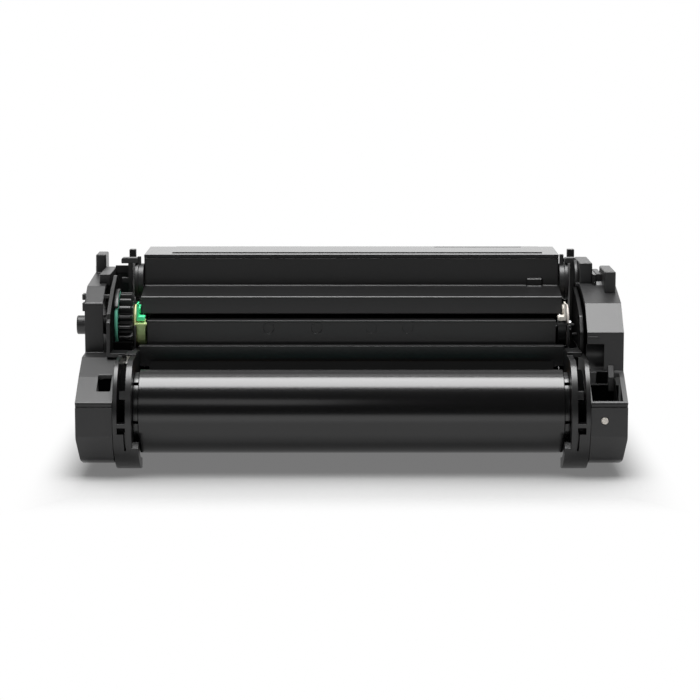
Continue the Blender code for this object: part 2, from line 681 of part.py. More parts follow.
def make_lid():
    """Lid with a rim that reaches into the hopper, a raised bare label field and a slot."""
    low = HOPPER_TOP + GAP
    top = low + LID_HEIGHT
    lid = box((-HOPPER_HALF, HOPPER_HALF), (TALL_FACE_Y, LID_BACK_Y), (low, top))
    rim = 2 * MM
    clear = HOPPER_WALL + GAP
    lip = box((-HOPPER_HALF + clear, HOPPER_HALF - clear), (TALL_FACE_Y + clear, LID_BACK_Y - clear - GAP),
              (low - rim, low + 0.5 * MM))
    pocket = box((-HOPPER_HALF + clear + rim, HOPPER_HALF - clear - rim),
                 (TALL_FACE_Y + clear + rim, LID_BACK_Y - clear - GAP - rim), (low - 2 * rim, low + 0.2 * MM))
    join(lid, cut(lip, pocket))
    label = box((LABEL_LEFT_X, LABEL_RIGHT_X), (TALL_FACE_Y + 10 * MM, LID_BACK_Y - 3.5 * MM),
                (top - 1 * MM, top + 0.5 * MM))
    slot = box((LABEL_RIGHT_X - 66 * MM, LABEL_RIGHT_X - 11 * MM),
               (LID_BACK_Y - 8.5 * MM, LID_BACK_Y - 6.5 * MM), (top - 1 * MM, top + 1 * MM))
    cut(join(lid, label), slot)
    name_piece(lid, "hopper_lid", "grey_black_plastic")


def make_rollers():
    half = ROLLER_LENGTH / 2
    gear_face = SLOT_X + GAP
    gear_end = OUTER_X - GAP
    ends = (-gear_end, HOPPER_HALF)
    profile = [(ends[1], 0), (ends[1], JOURNAL_RADIUS), (half, JOURNAL_RADIUS), (half, DEVELOPER_RADIUS),
               (-half, DEVELOPER_RADIUS), (-half, JOURNAL_RADIUS), (ends[0], JOURNAL_RADIUS), (ends[0], 0)]
    name_piece(turned(profile, DEVELOPER), "developer_roller", "dark_rubber")
    name_piece(rod(*ends, JOURNAL_RADIUS, ADDER, 16), "adder_shaft", "steel")
    name_piece(ring(-half, half, ADDER_RADIUS, JOURNAL_RADIUS + GAP, ADDER, 20), "adder_foam", "foam")
    bore = JOURNAL_RADIUS + GAP
    name_piece(gear(DEVELOPER_TEETH, PHASES["developer"], -gear_end, -gear_face, bore, DEVELOPER),
               "developer_gear", "white_plastic")
    name_piece(gear(ADDER_TEETH, PHASES["adder"], -gear_end, -gear_face, bore, ADDER),
               "adder_gear", "white_plastic")
    name_piece(gear(IDLER_TEETH, PHASES["idler"], -gear_end, -gear_face, bore, IDLER),
               "idler_gear", "white_plastic")
    pin = rod(-gear_end, -SLOT_X - GAP, JOURNAL_RADIUS, IDLER, 16)
    name_piece(pin, "idler_pin", "steel")


def make_doctor_blade():
    """Spring steel strip under the hopper's roof that smooths the toner on the developer roller."""
    half = ROLLER_LENGTH / 2
    root = Vector((front(69.5), 37.2 * MM))
    tip = Vector(polar(DEVELOPER, DEVELOPER_RADIUS + GAP, 78))
    along = (tip - root).normalized()
    across = Vector((along.y, -along.x)) * 0.4 * MM
    outline = [tuple(root), tuple(tip), tuple(tip + across), tuple(root + across)]
    name_piece(slab(outline, -half, half), "doctor_blade", "steel")


def make_paddle():
    """Shaft with a wide windowed blade that stirs the toner, and its gear."""
    inside = HOPPER_HALF - HOPPER_WALL
    gear_face = SLOT_X + GAP
    gear_end = gear_face + PADDLE_GEAR_WIDTH
    shaft = rod(-gear_end, HOPPER_HALF, JOURNAL_RADIUS, PADDLE, 16)
    thick = 1.2 * MM
    blade = box((-inside + 3 * MM, inside - 3 * MM), (PADDLE[0] - thick, PADDLE[0] + thick),
                (PADDLE[1] - PADDLE_REACH, PADDLE[1] + PADDLE_REACH))
    windows = 4
    span = 2 * (inside - 3 * MM) / windows
    for index in range(windows):
        low = -inside + 3 * MM + index * span + 3 * MM
        for side in (-1, 1):
            z_low, z_high = sorted((PADDLE[1] + side * 6 * MM, PADDLE[1] + side * (PADDLE_REACH - 3 * MM)))
            cut(blade, box((low, low + span - 6 * MM), (PADDLE[0] - REACH, PADDLE[0] + REACH), (z_low, z_high)))
    name_piece(join(shaft, blade), "paddle_shaft", "white_plastic")
    name_piece(gear(PADDLE_TEETH, PHASES["paddle"], -gear_end, -gear_face, JOURNAL_RADIUS + GAP, PADDLE),
               "paddle_gear", "white_plastic")


# Waste toner auger and the drive that it carries

def make_auger():
    radius = 3.0 * MM
    root = 1.1 * MM
    half = PANEL_HALF + GAP
    turns = 12
    stations = 48
    sides = 4
    rings = []
    for station in range(stations + 1):
        x = -half + 2 * half * station / stations
        twist = math.tau * turns / 2 * station / stations
        row = []
        for i in range(sides):
            angle = math.tau * i / sides
            y = radius * math.cos(angle)
            z = root * math.sin(angle)
            row.append((x, DRIVE_Y + y * math.cos(twist) - z * math.sin(twist),
                        DRIVE_Z + y * math.sin(twist) + z * math.cos(twist)))
        rings.append(row)
    auger = lofted(rings)
    tip = CAP_HALF + COUPLER_TIP
    join(auger, rod(-tip + 4 * MM, -half + 0.5 * MM, JOURNAL_RADIUS, DRIVE, 20),
         rod(half - 0.5 * MM, WASHER_X + WASHER_WIDTH + 2 * MM, JOURNAL_RADIUS, DRIVE, 20))
    name_piece(auger, "waste_auger", "steel")
    bore = JOURNAL_RADIUS + GAP
    name_piece(gear(DRIVE_TEETH, PHASES["drive"], -DRIVE_OUTER_X, -DRIVE_INNER_X, bore, DRIVE),
               "drive_gear", "dark_grey_plastic")
    name_piece(ring(-FLANGE_X, -FLANGE_X + FLANGE_WIDTH, FLANGE_RADIUS, bore, DRIVE, 32),
               "drive_flange", "teal_plastic")
    near = FLANGE_X + GAP
    coupler = turned([(-near, bore), (-near, HUB_RADIUS), (-near - COUPLER_HUB, HUB_RADIUS),
                      (-near - COUPLER_HUB, COUPLER_RADIUS), (-tip, COUPLER_RADIUS), (-tip, bore)],
                     DRIVE, closed=True)
    name_piece(coupler, "drive_coupler", "dark_grey_plastic")
    washer_end = WASHER_X + WASHER_WIDTH
    name_piece(ring(-washer_end, -WASHER_X, BUSH_RADIUS, bore, DRIVE), "drive_washer", "gold_plastic")
    name_piece(ring(WASHER_X, washer_end, BUSH_RADIUS, bore, DRIVE), "end_disc", "beige_plastic")


def make_bushes():
    """Round bearing bushes of the auger's shaft with a thin plate in front, each held down by a clip
    whose outer leg rises past the end of the hopper's lip."""
    collar = JOURNAL_RADIUS + 3 * MM
    plate_z = (DRIVE_Z + BUSH_RISE - 1.3 * MM, DRIVE_Z + BUSH_RISE - 0.1 * MM)
    bore = circle(JOURNAL_RADIUS + GAP, 16)
    bush_rim = math.degrees(math.asin(BUSH_RISE / BUSH_RADIUS))
    bush_collar = math.degrees(math.asin(BUSH_RISE / collar))
    bush_outline = arc((0, 0), BUSH_RADIUS, bush_rim, -180 - bush_rim, 24)
    bush_outline += arc((0, 0), collar, 180 - bush_collar, bush_collar, 10)
    clip_low = BUSH_RISE + GAP
    clip_rim = math.degrees(math.asin(clip_low / BUSH_RADIUS))
    clip_collar = math.degrees(math.asin(clip_low / (collar + GAP)))
    clip_outline = arc((0, 0), BUSH_RADIUS, clip_rim, 180 - clip_rim, 18)
    clip_outline += arc((0, 0), collar + GAP, 180 - clip_collar, clip_collar, 10)
    for side, name, bush_material, clip_material in (
            (-1, "left", "pale_green_plastic", "emerald_plastic"),
            (1, "right", "natural_plastic", "natural_plastic")):
        ends = across(BUSH_INNER_X, BUSH_OUTER_X, side)
        bush = slab(bush_outline, *ends, [bore], DRIVE)
        join(bush,
             box(across(PANEL_HALF + GAP, BUSH_OUTER_X - GAP, side), (front(70), front(73.4)), plate_z),
             box(across(BUSH_OUTER_X - 1 * MM, WASHER_X + 1 * MM, side), (front(70.2), front(72)), plate_z))
        clip = slab(clip_outline, *ends, centre=DRIVE)
        cut(clip, box(across(BUSH_INNER_X - REACH, HOPPER_HALF + GAP, side),
                      (DRIVE_Y - BUSH_RADIUS - REACH, DRIVE_Y + BUSH_RADIUS + REACH),
                      (LIP_BOTTOM_Z - GAP, LIP_TOP_Z)))
        name_piece(bush, name + "_bush", bush_material)
        name_piece(clip, name + "_bush_clip", clip_material)


# End caps

def cap_low_corners():
    """Low part of an end cap: rounded underside, two sloping faces in front, flat top behind."""
    return [
        (front(2), 24.1 * MM, 2 * MM), (front(9), 9 * MM, 6 * MM), (front(21), CAP_BOTTOM, 6 * MM),
        (CAP_BACK_Y, CAP_BOTTOM, 6 * MM), (CAP_BACK_Y, CAP_SHELF_Z),
        (LEDGE_Y - 0.5 * MM, CAP_SHELF_Z), (LEDGE_Y - 0.5 * MM, CAP_TOP_Z), (front(44), CAP_TOP_Z, 3 * MM),
        (front(24), CAP_TOP_Z - 8.8 * MM, 3 * MM), (front(2), CAP_EDGE_Z, 1.5 * MM)]


def cap_tower_corners(front_corners):
    """High part of an end cap, narrower than the low part."""
    return [
        (CAP_BACK_Y, 20 * MM), (CAP_BACK_Y, 70 * MM, 6 * MM), (front(160), TOWER_TOP_Z - 7.6 * MM, 10 * MM),
        (front(131), TOWER_TOP_Z, 6 * MM), (front(79), TOWER_TOP_Z - 2.6 * MM, 3 * MM)] + front_corners


def hollow_cap(tower, tower_inner, side):
    """Two outlines joined into a shell open towards the middle, with a groove below its front edge."""
    low = cap_low_corners()
    floor = CAP_HALF - CAP_WALL
    cap = slab(rounded(low), *across(CAP_INNER_X, CAP_HALF, side))
    join(cap, slab(rounded(tower), *across(tower_inner, CAP_HALF, side)))
    cut(cap, slab(rounded(inset(low, CAP_WALL)), *across(CAP_INNER_X - REACH, floor, side)))
    cut(cap, slab(rounded(inset(tower, CAP_WALL)), *across(tower_inner - REACH, floor, side)))
    groove = box(across(CAP_INNER_X - REACH, CAP_HALF + REACH, side), (front(0), front(2.8)),
                 (CAP_EDGE_Z - 2.9 * MM, CAP_EDGE_Z - 1 * MM))
    return cut(cap, groove)


def make_left_cap():
    tower = cap_tower_corners([
        (front(62), TOWER_TOP_Z - 11.1 * MM, 2 * MM), (front(62), 60 * MM), (front(90), 20 * MM)])
    cap = hollow_cap(tower, LEFT_TOWER_X, -1)
    cut(cap, rod(-CAP_HALF - REACH, -LEFT_TOWER_X, COUPLER_RADIUS + GAP, DRIVE),
        box(across(CAP_INNER_X + 1.8 * MM, CAP_INNER_X + 9.9 * MM, -1), (front(12), front(26)),
            (CAP_EDGE_Z, CAP_TOP_Z + REACH)))
    post = box(across(CAP_HALF - 6.4 * MM, CAP_HALF - 0.2 * MM, -1), (front(129), front(134)),
               (TOWER_TOP_Z - 5 * MM, HOPPER_TOP))
    block = box(across(LEFT_TOWER_X - 2 * MM, LEFT_TOWER_X + 4 * MM, -1), (front(88), front(94)),
                (TOWER_TOP_Z - 4 * MM, TOWER_TOP_Z + 8 * MM))
    name_piece(join(cap, post, block), "left_end_cap", "dark_grey_plastic")


def make_right_cap():
    """Right cap with an open pocket in front, a rounded recess above it and a white contact pin."""
    tower = cap_tower_corners([
        (front(48), TOWER_TOP_Z - 9.1 * MM, 2 * MM), (front(30), 81.1 * MM, 1.5 * MM), (front(30), 50 * MM),
        (front(34), 20 * MM)])
    cap = hollow_cap(tower, RIGHT_TOWER_X, 1)
    cut(cap, box(across(CAP_INNER_X + 0.9 * MM, CAP_HALF - 5.6 * MM, 1), (front(4), front(27.8)),
                 (34 * MM, CAP_TOP_Z + REACH)))
    recess_z = 66.5 * MM
    recess_radius = 8 * MM
    recess_end = CAP_INNER_X + 9.9 * MM
    cut(cap, box(across(CAP_INNER_X - REACH, recess_end, 1), (front(26), front(33)),
                 (recess_z - recess_radius, recess_z + recess_radius)))
    middle = (front(29), recess_z)
    shell = arc(middle, recess_radius + 1.5 * MM, 100, 260, 8) + arc(middle, recess_radius, 260, 100, 8)
    post = box(across(CAP_HALF - 7.9 * MM, CAP_HALF - 1.6 * MM, 1), (front(66), front(71)),
               (TOWER_TOP_Z - 7 * MM, HOPPER_TOP - 1 * MM))
    block = box(across(CAP_INNER_X, CAP_INNER_X + 7.8 * MM, 1), (front(106), front(114)),
                (TOWER_TOP_Z - 4 * MM, HOPPER_TOP))
    tab = slab([(front(25), 46.8 * MM), (front(33), 46.8 * MM), (front(33), 62 * MM), (front(30), 62 * MM),
                (front(25), 55.1 * MM)], *across(CAP_HALF - 9.3 * MM, CAP_HALF - 5.8 * MM, 1))
    light_block = box(across(CAP_INNER_X, CAP_INNER_X + 5.3 * MM, 1), (front(26.8), front(33)),
                      (50.8 * MM, recess_z - recess_radius))
    join(cap, slab(shell, *across(CAP_INNER_X, recess_end + 2.4 * MM, 1)), post, block, tab, light_block)
    cut(cap, pin_along_y(PIN_X, PIN_Z, front(0), front(7), PIN_RADIUS + GAP))
    name_piece(cap, "right_end_cap", "dark_grey_plastic")
    name_piece(pin_along_y(PIN_X, PIN_Z, front(1.6), front(5.4), PIN_RADIUS), "contact_pin", "natural_plastic")


def make_end_details():
    """Plugs on the hopper's ends and the brackets that stand outside the paddle's gear."""
    for side, name in ((-1, "left"), (1, "right")):
        near = HOPPER_HALF + GAP
        end = near + PLUG_WIDTH
        dish = end - 1.4 * MM
        profile = [(end, 0), (end, 5 * MM), (dish, 6.5 * MM), (dish, 9.5 * MM), (end, 10 * MM),
                   (end, PLUG_RADIUS), (near, PLUG_RADIUS), (near, 0)]
        if side < 0:
            profile = [(-x, radius) for x, radius in reversed(profile)]
        name_piece(turned(profile, (PLUG_Y, PLUG_Z), steps=20), name + "_fill_plug", "dark_grey_plastic")
        outer = BRACKET_X + BRACKET_THICK
        outline = [
            (front(106), CAP_SHELF_Z + GAP), (front(122), CAP_SHELF_Z + GAP),
            (front(122), TOWER_TOP_Z - 9 * MM), (front(152), TOWER_TOP_Z - 2 * MM),
            (front(152), HOPPER_TOP - 4 * MM, 2 * MM),
            (front(112), HOPPER_TOP - 4 * MM), (front(106), HOPPER_TOP - 2 * MM)]
        bracket = slab(rounded(outline), *across(BRACKET_X, outer, side))
        head_end = outer + 3.9 * MM if side < 0 else outer
        head = box(across(BRACKET_X - 3.2 * MM, head_end, side), (front(105), front(110)),
                   (HOPPER_TOP - 2.6 * MM, HOPPER_TOP))
        foot = box(across(BRACKET_X, CAP_INNER_X + 4 * MM, side), (front(108), front(120)),
                   (CAP_SHELF_Z + GAP, CAP_SHELF_Z + GAP + 2.5 * MM))
        arm_end = outer + 4.2 * MM if side < 0 else CAP_INNER_X - GAP
        arm = box(across(BRACKET_X, arm_end, side), (front(106), front(109)),
                  (TOWER_TOP_Z - 4 * MM, TOWER_TOP_Z - 0.6 * MM))
        stud = box(across(outer - STUD_RADIUS * 1.6, outer, side), (front(145), front(149)),
                   (HOPPER_TOP - 6 * MM, HOPPER_TOP + 1.4 * MM))
        join(bracket, head, foot, arm, stud)
        name_piece(bracket, name + "_bracket", "dark_grey_plastic")


PHASES = {"drive": math.radians(7)}
PHASES["idler"] = meshed_phase(DRIVE, DRIVE_TEETH, PHASES["drive"], IDLER, IDLER_TEETH)
PHASES["paddle"] = meshed_phase(DRIVE, DRIVE_TEETH, PHASES["drive"], PADDLE, PADDLE_TEETH)
PHASES["developer"] = meshed_phase(IDLER, IDLER_TEETH, PHASES["idler"], DEVELOPER, DEVELOPER_TEETH)
PHASES["adder"] = meshed_phase(DEVELOPER, DEVELOPER_TEETH, PHASES["developer"], ADDER, ADDER_TEETH)
PHASES["drum"] = meshed_phase(DEVELOPER, DEVELOPER_TEETH, PHASES["developer"], DRUM, DRUM_TEETH)

clear_scene()
CARTRIDGE = bpy.data.collections.new("toner_cartridge")
bpy.context.scene.collection.children.link(CARTRIDGE)
MATERIALS = {
    "black_plastic": make_material("black_plastic", (0.022, 0.022, 0.024), 0.45),
    "grey_black_plastic": make_material("grey_black_plastic", (0.05, 0.05, 0.052), 0.4),
    "dark_grey_plastic": make_material("dark_grey_plastic", (0.035, 0.035, 0.037), 0.5),
    "satin_black": make_material("satin_black", (0.015, 0.015, 0.016), 0.28),
    "photoconductor": make_material("photoconductor", (0.04, 0.16, 0.15), 0.2),
    "dark_rubber": make_material("dark_rubber", (0.02, 0.02, 0.02), 0.6),
    "amber_rubber": make_material("amber_rubber", (0.45, 0.27, 0.08), 0.5),
    "steel": make_material("steel", (0.55, 0.56, 0.58), 0.3, 1.0),
    "coated_steel": make_material("coated_steel", (0.02, 0.02, 0.022), 0.5),
    "foam": make_material("foam", (0.25, 0.25, 0.24), 0.95),
    "white_plastic": make_material("white_plastic", (0.75, 0.74, 0.7), 0.45),
    "teal_plastic": make_material("teal_plastic", (0.07, 0.24, 0.16), 0.45),
    "gold_plastic": make_material("gold_plastic", (0.6, 0.62, 0.4), 0.4),
    "emerald_plastic": make_material("emerald_plastic", (0.06, 0.55, 0.2), 0.4),
    "pale_green_plastic": make_material("pale_green_plastic", (0.3, 0.42, 0.18), 0.45),
    "natural_plastic": make_material("natural_plastic", (0.68, 0.64, 0.58), 0.45),
    "beige_plastic": make_material("beige_plastic", (0.5, 0.45, 0.4), 0.5),
}
make_drum_frame()
make_auger_cover()
make_drum()
make_drum_cover()
make_charge_roller()
make_blades()
make_hopper()
make_lid()
make_rollers()
make_doctor_blade()
make_paddle()
make_auger()
make_bushes()
make_left_cap()
make_right_cap()
make_end_details()
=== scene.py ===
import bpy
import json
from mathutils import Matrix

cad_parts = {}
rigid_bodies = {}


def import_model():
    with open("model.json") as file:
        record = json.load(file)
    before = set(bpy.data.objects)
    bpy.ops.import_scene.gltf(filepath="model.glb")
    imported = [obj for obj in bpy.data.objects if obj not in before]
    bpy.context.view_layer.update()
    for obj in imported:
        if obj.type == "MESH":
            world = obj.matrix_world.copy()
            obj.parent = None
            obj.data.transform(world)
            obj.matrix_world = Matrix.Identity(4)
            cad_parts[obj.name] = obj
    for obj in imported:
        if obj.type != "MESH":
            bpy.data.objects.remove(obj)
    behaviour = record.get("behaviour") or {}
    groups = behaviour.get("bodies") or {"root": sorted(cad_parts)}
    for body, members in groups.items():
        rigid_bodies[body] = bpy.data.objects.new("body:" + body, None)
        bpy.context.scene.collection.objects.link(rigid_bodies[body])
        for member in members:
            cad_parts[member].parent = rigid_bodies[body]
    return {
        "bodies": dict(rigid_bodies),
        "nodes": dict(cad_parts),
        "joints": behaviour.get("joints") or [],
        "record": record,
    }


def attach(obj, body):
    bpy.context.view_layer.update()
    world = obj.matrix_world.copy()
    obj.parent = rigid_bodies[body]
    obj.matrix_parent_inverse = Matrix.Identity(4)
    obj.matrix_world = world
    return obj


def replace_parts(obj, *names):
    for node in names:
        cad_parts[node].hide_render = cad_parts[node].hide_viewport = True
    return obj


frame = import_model()

"""Toner cartridge: moulded edges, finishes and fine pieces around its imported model, in a white studio."""

import json
import logging
import math
from dataclasses import dataclass, field
from enum import Enum

import bmesh
import bpy
import numpy as np
from bpy.types import Material, Mesh, Node, NodeSocket, NodeTree, Object
from mathutils import Vector

LOG = logging.getLogger("toner_cartridge")
MM = 0.001
SIDES = ((-1, "left"), (1, "right"))
# Y of the cartridge's foremost line, in millimetres; Y and Z of the drum's and the auger's axis, in metres.
FRONT_MM = -150.0
DRUM_AXIS = (-0.1155, 0.0345)
AUGER_AXIS = (-0.065, 0.0785)
# Edges that turn more than the first angle are sharp; two that meet within the second run on in one line.
SHARP_DEG = 32.0
RUNS_ON_DEG = 48.0
# Room that a whole rounding needs: the length of an edge in widths of the rounding, and a face's corner.
ROOM_WIDTHS = 2.4
OPEN_CORNER_DEG = 50.0
LEAST_ROOM_SHARE = 0.02
LEAST_CORNER_SHARE = 0.05
SHARING_PASSES = 60
# Largest rounding of a block, as a share of its smallest side.
SOFT_SHARE = 0.3
# How far flat faces outweigh roundings in the shading.
FLAT_FACE_WEIGHT = 80
Corner = tuple[float, ...]
Box = tuple[Corner, Corner, Corner]
Shift = tuple[Box, int, float]


def add_node(tree: NodeTree, kind: str, **inputs: NodeSocket | Corner | float) -> Node:
    """Add a shader node; an input that is given a socket is linked to it, any other gets the value.

    Args:
        tree: The material's or the world's nodes.
        kind: Kind of node, without its prefix.
        inputs: What each input gets, by its name with _ for a space.

    Returns:
        The node.
    """
    node = tree.nodes.new("ShaderNode" + kind)
    for name, given in inputs.items():
        target = node.inputs[name.replace("_", " ")]
        if isinstance(given, NodeSocket):
            tree.links.new(given, target)
        else:
            target.default_value = given
    return node


class Grain(Enum):
    """How the surface of a finish is broken up."""

    MOULDED = "fine even texture of a spark-eroded mould"
    DRAWN = "faint lines along the length of the cartridge"
    TURNED = "faint rings around the length of the cartridge"
    FOAM = "open cells"
    PLAIN = "polished mould with a slight waviness"


@dataclass(frozen=True)
class Finish:
    """One surface finish: its colour, its gloss and the texture that the mould or tool left."""

    slot: str
    colour: tuple[float, float, float]
    roughness: float
    grain: Grain = Grain.PLAIN
    grain_size: float = 1.2 * MM
    depth: float = 0.02 * MM
    metallic: float = 0.0
    specular: float = 0.5
    mottle: float = 0.12
    coat: float = 0.0
    coat_roughness: float = 0.12
    line_share: float = 0.012
    ring_share: float = 0.02
    grain_detail: float = 3.0
    cloud_scale: float = 38.0
    cloud_detail: float = 4.0
    cloud_span: tuple[float, float] = (0.3, 0.7)

    def stretch(self) -> tuple[float, float, float]:
        """Scale of the texture's coordinates along X, Y and Z, per metre."""
        fine = 1.0 / self.grain_size
        if self.grain is Grain.DRAWN:
            return (fine * self.line_share, fine, fine)
        if self.grain is Grain.TURNED:
            return (fine, fine * self.ring_share, fine * self.ring_share)
        return (fine, fine, fine)

    def build(self) -> Material:
        """Make the material.

        Returns:
            A material whose bump and faint mottling come from noise on object coordinates.
        """
        material = bpy.data.materials.new(self.slot)
        material.use_nodes = True
        tree = material.node_tree
        shader = tree.nodes["Principled BSDF"]
        for name, value in (("Roughness", self.roughness), ("Metallic", self.metallic),
                            ("Specular IOR Level", self.specular), ("Coat Weight", self.coat),
                            ("Coat Roughness", self.coat_roughness)):
            shader.inputs[name].default_value = value
        place = add_node(tree, "TexCoord").outputs["Object"]
        tree.links.new(self._normal(tree, place), shader.inputs["Normal"])
        tree.links.new(self._clouded(tree, place), shader.inputs["Base Color"])
        return material

    def _normal(self, tree: NodeTree, place: NodeSocket) -> NodeSocket:
        """Normal that the grain's noise gives."""
        scaled = add_node(tree, "Mapping", Vector=place, Scale=self.stretch()).outputs["Vector"]
        if self.grain is Grain.FOAM:
            height = add_node(tree, "TexVoronoi", Vector=scaled, Scale=1.0).outputs["Distance"]
        else:
            noise = add_node(tree, "TexNoise", Vector=scaled, Scale=1.0, Detail=self.grain_detail)
            height = noise.outputs["Fac"]
        return add_node(tree, "Bump", Height=height, Strength=1.0, Distance=self.depth).outputs["Normal"]

    def _clouded(self, tree: NodeTree, place: NodeSocket) -> NodeSocket:
        """Colour that varies softly over a few centimetres, as pigment in a moulding does."""
        cloud = add_node(tree, "TexNoise", Vector=place, Scale=self.cloud_scale, Detail=self.cloud_detail)
        ramp = add_node(tree, "ValToRGB", Fac=cloud.outputs["Fac"])
        low, high = ramp.color_ramp.elements
        low.position, high.position = self.cloud_span
        low.color = (*[channel * (1.0 - self.mottle) for channel in self.colour], 1.0)
        high.color = (*[min(channel * (1.0 + self.mottle), 1.0) for channel in self.colour], 1.0)
        return ramp.outputs["Color"]


FINISHES: tuple[Finish, ...] = (
    Finish("black_plastic", (0.0045, 0.0045, 0.0047), 0.34, Grain.MOULDED, 0.5 * MM, 0.012 * MM),
    Finish("grey_black_plastic", (0.007, 0.007, 0.0074), 0.26, Grain.MOULDED, 0.5 * MM, 0.010 * MM),
    Finish("dark_grey_plastic", (0.0095, 0.0095, 0.0099), 0.42, Grain.MOULDED, 0.6 * MM, 0.020 * MM),
    Finish("satin_black", (0.003, 0.003, 0.0032), 0.19, Grain.DRAWN, 0.35 * MM, 0.004 * MM),
    Finish("photoconductor", (0.02, 0.13, 0.12), 0.12, Grain.TURNED, 0.8 * MM, 0.002 * MM, coat=0.6),
    Finish("dark_rubber", (0.006, 0.006, 0.006), 0.62, Grain.MOULDED, 0.3 * MM, 0.010 * MM),
    Finish("amber_rubber", (0.42, 0.23, 0.06), 0.42, grain_size=2.0 * MM, depth=0.01 * MM),
    Finish("steel", (0.56, 0.57, 0.59), 0.26, Grain.TURNED, 0.4 * MM, 0.004 * MM, metallic=1.0),
    # coated_steel is near-black and almost without gloss, so it paints shade: on the sheets in the openings,
    # the pocket, the plates and the slots, and on the wiper bracket in the recess above the drum cover.
    Finish("coated_steel", (0.001, 0.001, 0.001), 0.85, Grain.MOULDED, 0.5 * MM, 0.010 * MM, specular=0.04),
    Finish("foam", (0.20, 0.20, 0.19), 0.95, Grain.FOAM, 0.7 * MM, 0.25 * MM),
    Finish("white_plastic", (0.72, 0.71, 0.67), 0.42, grain_size=1.5 * MM),
    Finish("teal_plastic", (0.09, 0.36, 0.25), 0.42),
    Finish("gold_plastic", (0.64, 0.60, 0.30), 0.38),
    Finish("emerald_plastic", (0.08, 0.88, 0.36), 0.36),
    Finish("pale_green_plastic", (0.76, 1.0, 0.42), 0.38),
    Finish("natural_plastic", (0.68, 0.64, 0.58), 0.45, grain_size=1.5 * MM),
    Finish("beige_plastic", (0.50, 0.46, 0.42), 0.45, grain_size=1.5 * MM),
)


class Catalogue:
    """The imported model's bodies and material slots, looked up by node, and the built materials."""

    def __init__(self, loaded: dict) -> None:
        record = loaded["record"]
        self.nodes: dict[str, Object] = loaded["nodes"]
        bodies = record["behaviour"]["bodies"]
        self.bodies = {node: body for body, members in bodies.items() for node in members}
        self.slots = {row["node"]: row["material_slot"] for row in record["subparts"]}
        self.materials = {finish.slot: finish.build() for finish in FINISHES}
        self.made: set[str] = set()

    def place(self, piece: Object, body: str, slot: str) -> Object:
        """Give a new piece its finish, the body that it rides on and its material slot.

        Args:
            piece: A mesh object whose place is in its mesh.
            body: The body that carries it.
            slot: The record's material slot.

        Returns:
            The same piece.
        """
        piece.data.materials.clear()
        piece.data.materials.append(self.materials[slot])
        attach(piece, body)
        LOG.info("%s rides on %s in %s", piece.name, body, slot)
        return piece

    def stand_in(self, piece: Object, node: str) -> Object:
        """Let a new piece stand for a node, with the node's body and slot."""
        self.place(piece, self.bodies[node], self.slots[node])
        self.made.add(node)
        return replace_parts(piece, node)


def link_mesh(name: str, mesh: Mesh) -> Object:
    """Put a mesh into the scene as an object at the origin."""
    piece = bpy.data.objects.new(name, mesh)
    bpy.context.scene.collection.objects.link(piece)
    return piece


def add_edges(piece: Object, width: float, segments: int = 2, angle_deg: float = SHARP_DEG) -> None:
    """Round the sharp edges of a piece and keep its flat faces flat in the shading.

    Args:
        piece: The piece to finish.
        width: Width of the rounding, in metres.
        segments: Number of strips across the rounding.
        angle_deg: Edges that turn less than this stay as they are.
    """
    bevel = piece.modifiers.new("edges", "BEVEL")
    bevel.width = width
    bevel.segments = segments
    bevel.limit_method = "ANGLE"
    bevel.angle_limit = math.radians(angle_deg)
    bevel.use_clamp_overlap = False
    bevel.miter_outer = "MITER_ARC"
    normals = piece.modifiers.new("flat_faces", "WEIGHTED_NORMAL")
    normals.keep_sharp = False
    normals.weight = FLAT_FACE_WEIGHT
    piece.data.shade_smooth()


def weigh_edges(skin: bmesh.types.BMesh, width: float) -> None:
    """Give each edge a share of the rounding that the edges and corners beside it leave room for.

    The share is the shortest edge at either end over ROOM_WIDTHS widths, at most 1, times the square of the
    narrowest face corner at either end over OPEN_CORNER_DEG, at most 1. Sharp edges that run on in nearly
    one line get the smallest share among them, so the roundings meet.

    Args:
        skin: The mesh that is being finished.
        width: Full width of the rounding, in metres.
    """
    layer = skin.edges.layers.float.new("bevel_weight_edge")
    skin.verts.index_update()
    skin.edges.index_update()
    ends = np.array([[edge.verts[0].index, edge.verts[1].index] for edge in skin.edges])
    lengths = np.array([edge.calc_length() for edge in skin.edges])
    shortest = np.full(len(skin.verts), np.inf)
    np.minimum.at(shortest, ends[:, 0], lengths)
    np.minimum.at(shortest, ends[:, 1], lengths)
    corners = np.array([[loop.vert.index, loop.calc_angle()] for face in skin.faces for loop in face.loops])
    narrowest = np.full(len(skin.verts), np.inf)
    np.minimum.at(narrowest, corners[:, 0].astype(int), corners[:, 1])
    shares = np.clip(shortest[ends].min(axis=1) / (ROOM_WIDTHS * width), LEAST_ROOM_SHARE, 1.0)
    openness = narrowest[ends].min(axis=1) / math.radians(OPEN_CORNER_DEG)
    shares *= np.clip(openness, LEAST_CORNER_SHARE, 1.0) ** 2
    sharp = np.array([len(edge.link_faces) == 2 and edge.calc_face_angle() > math.radians(SHARP_DEG)
                      for edge in skin.edges])
    places = np.array([vert.co[:] for vert in skin.verts])
    ways = places[ends[:, 1]] - places[ends[:, 0]]
    ways /= np.maximum(np.linalg.norm(ways, axis=1), 1e-9)[:, None]
    meeting = [(one.index, two.index) for vert in skin.verts
               for one in vert.link_edges if sharp[one.index]
               for two in vert.link_edges if sharp[two.index] and one.index < two.index]
    first, second = np.array(meeting, dtype=int).reshape(-1, 2).T
    runs_on = np.abs(np.sum(ways[first] * ways[second], axis=1)) > math.cos(math.radians(RUNS_ON_DEG))
    first, second = first[runs_on], second[runs_on]
    for _ in range(SHARING_PASSES):
        np.minimum.at(shares, first, shares[second])
        np.minimum.at(shares, second, shares[first])
    for edge, share in zip(skin.edges, np.where(sharp, shares, 0.0).tolist()):
        edge[layer] = share


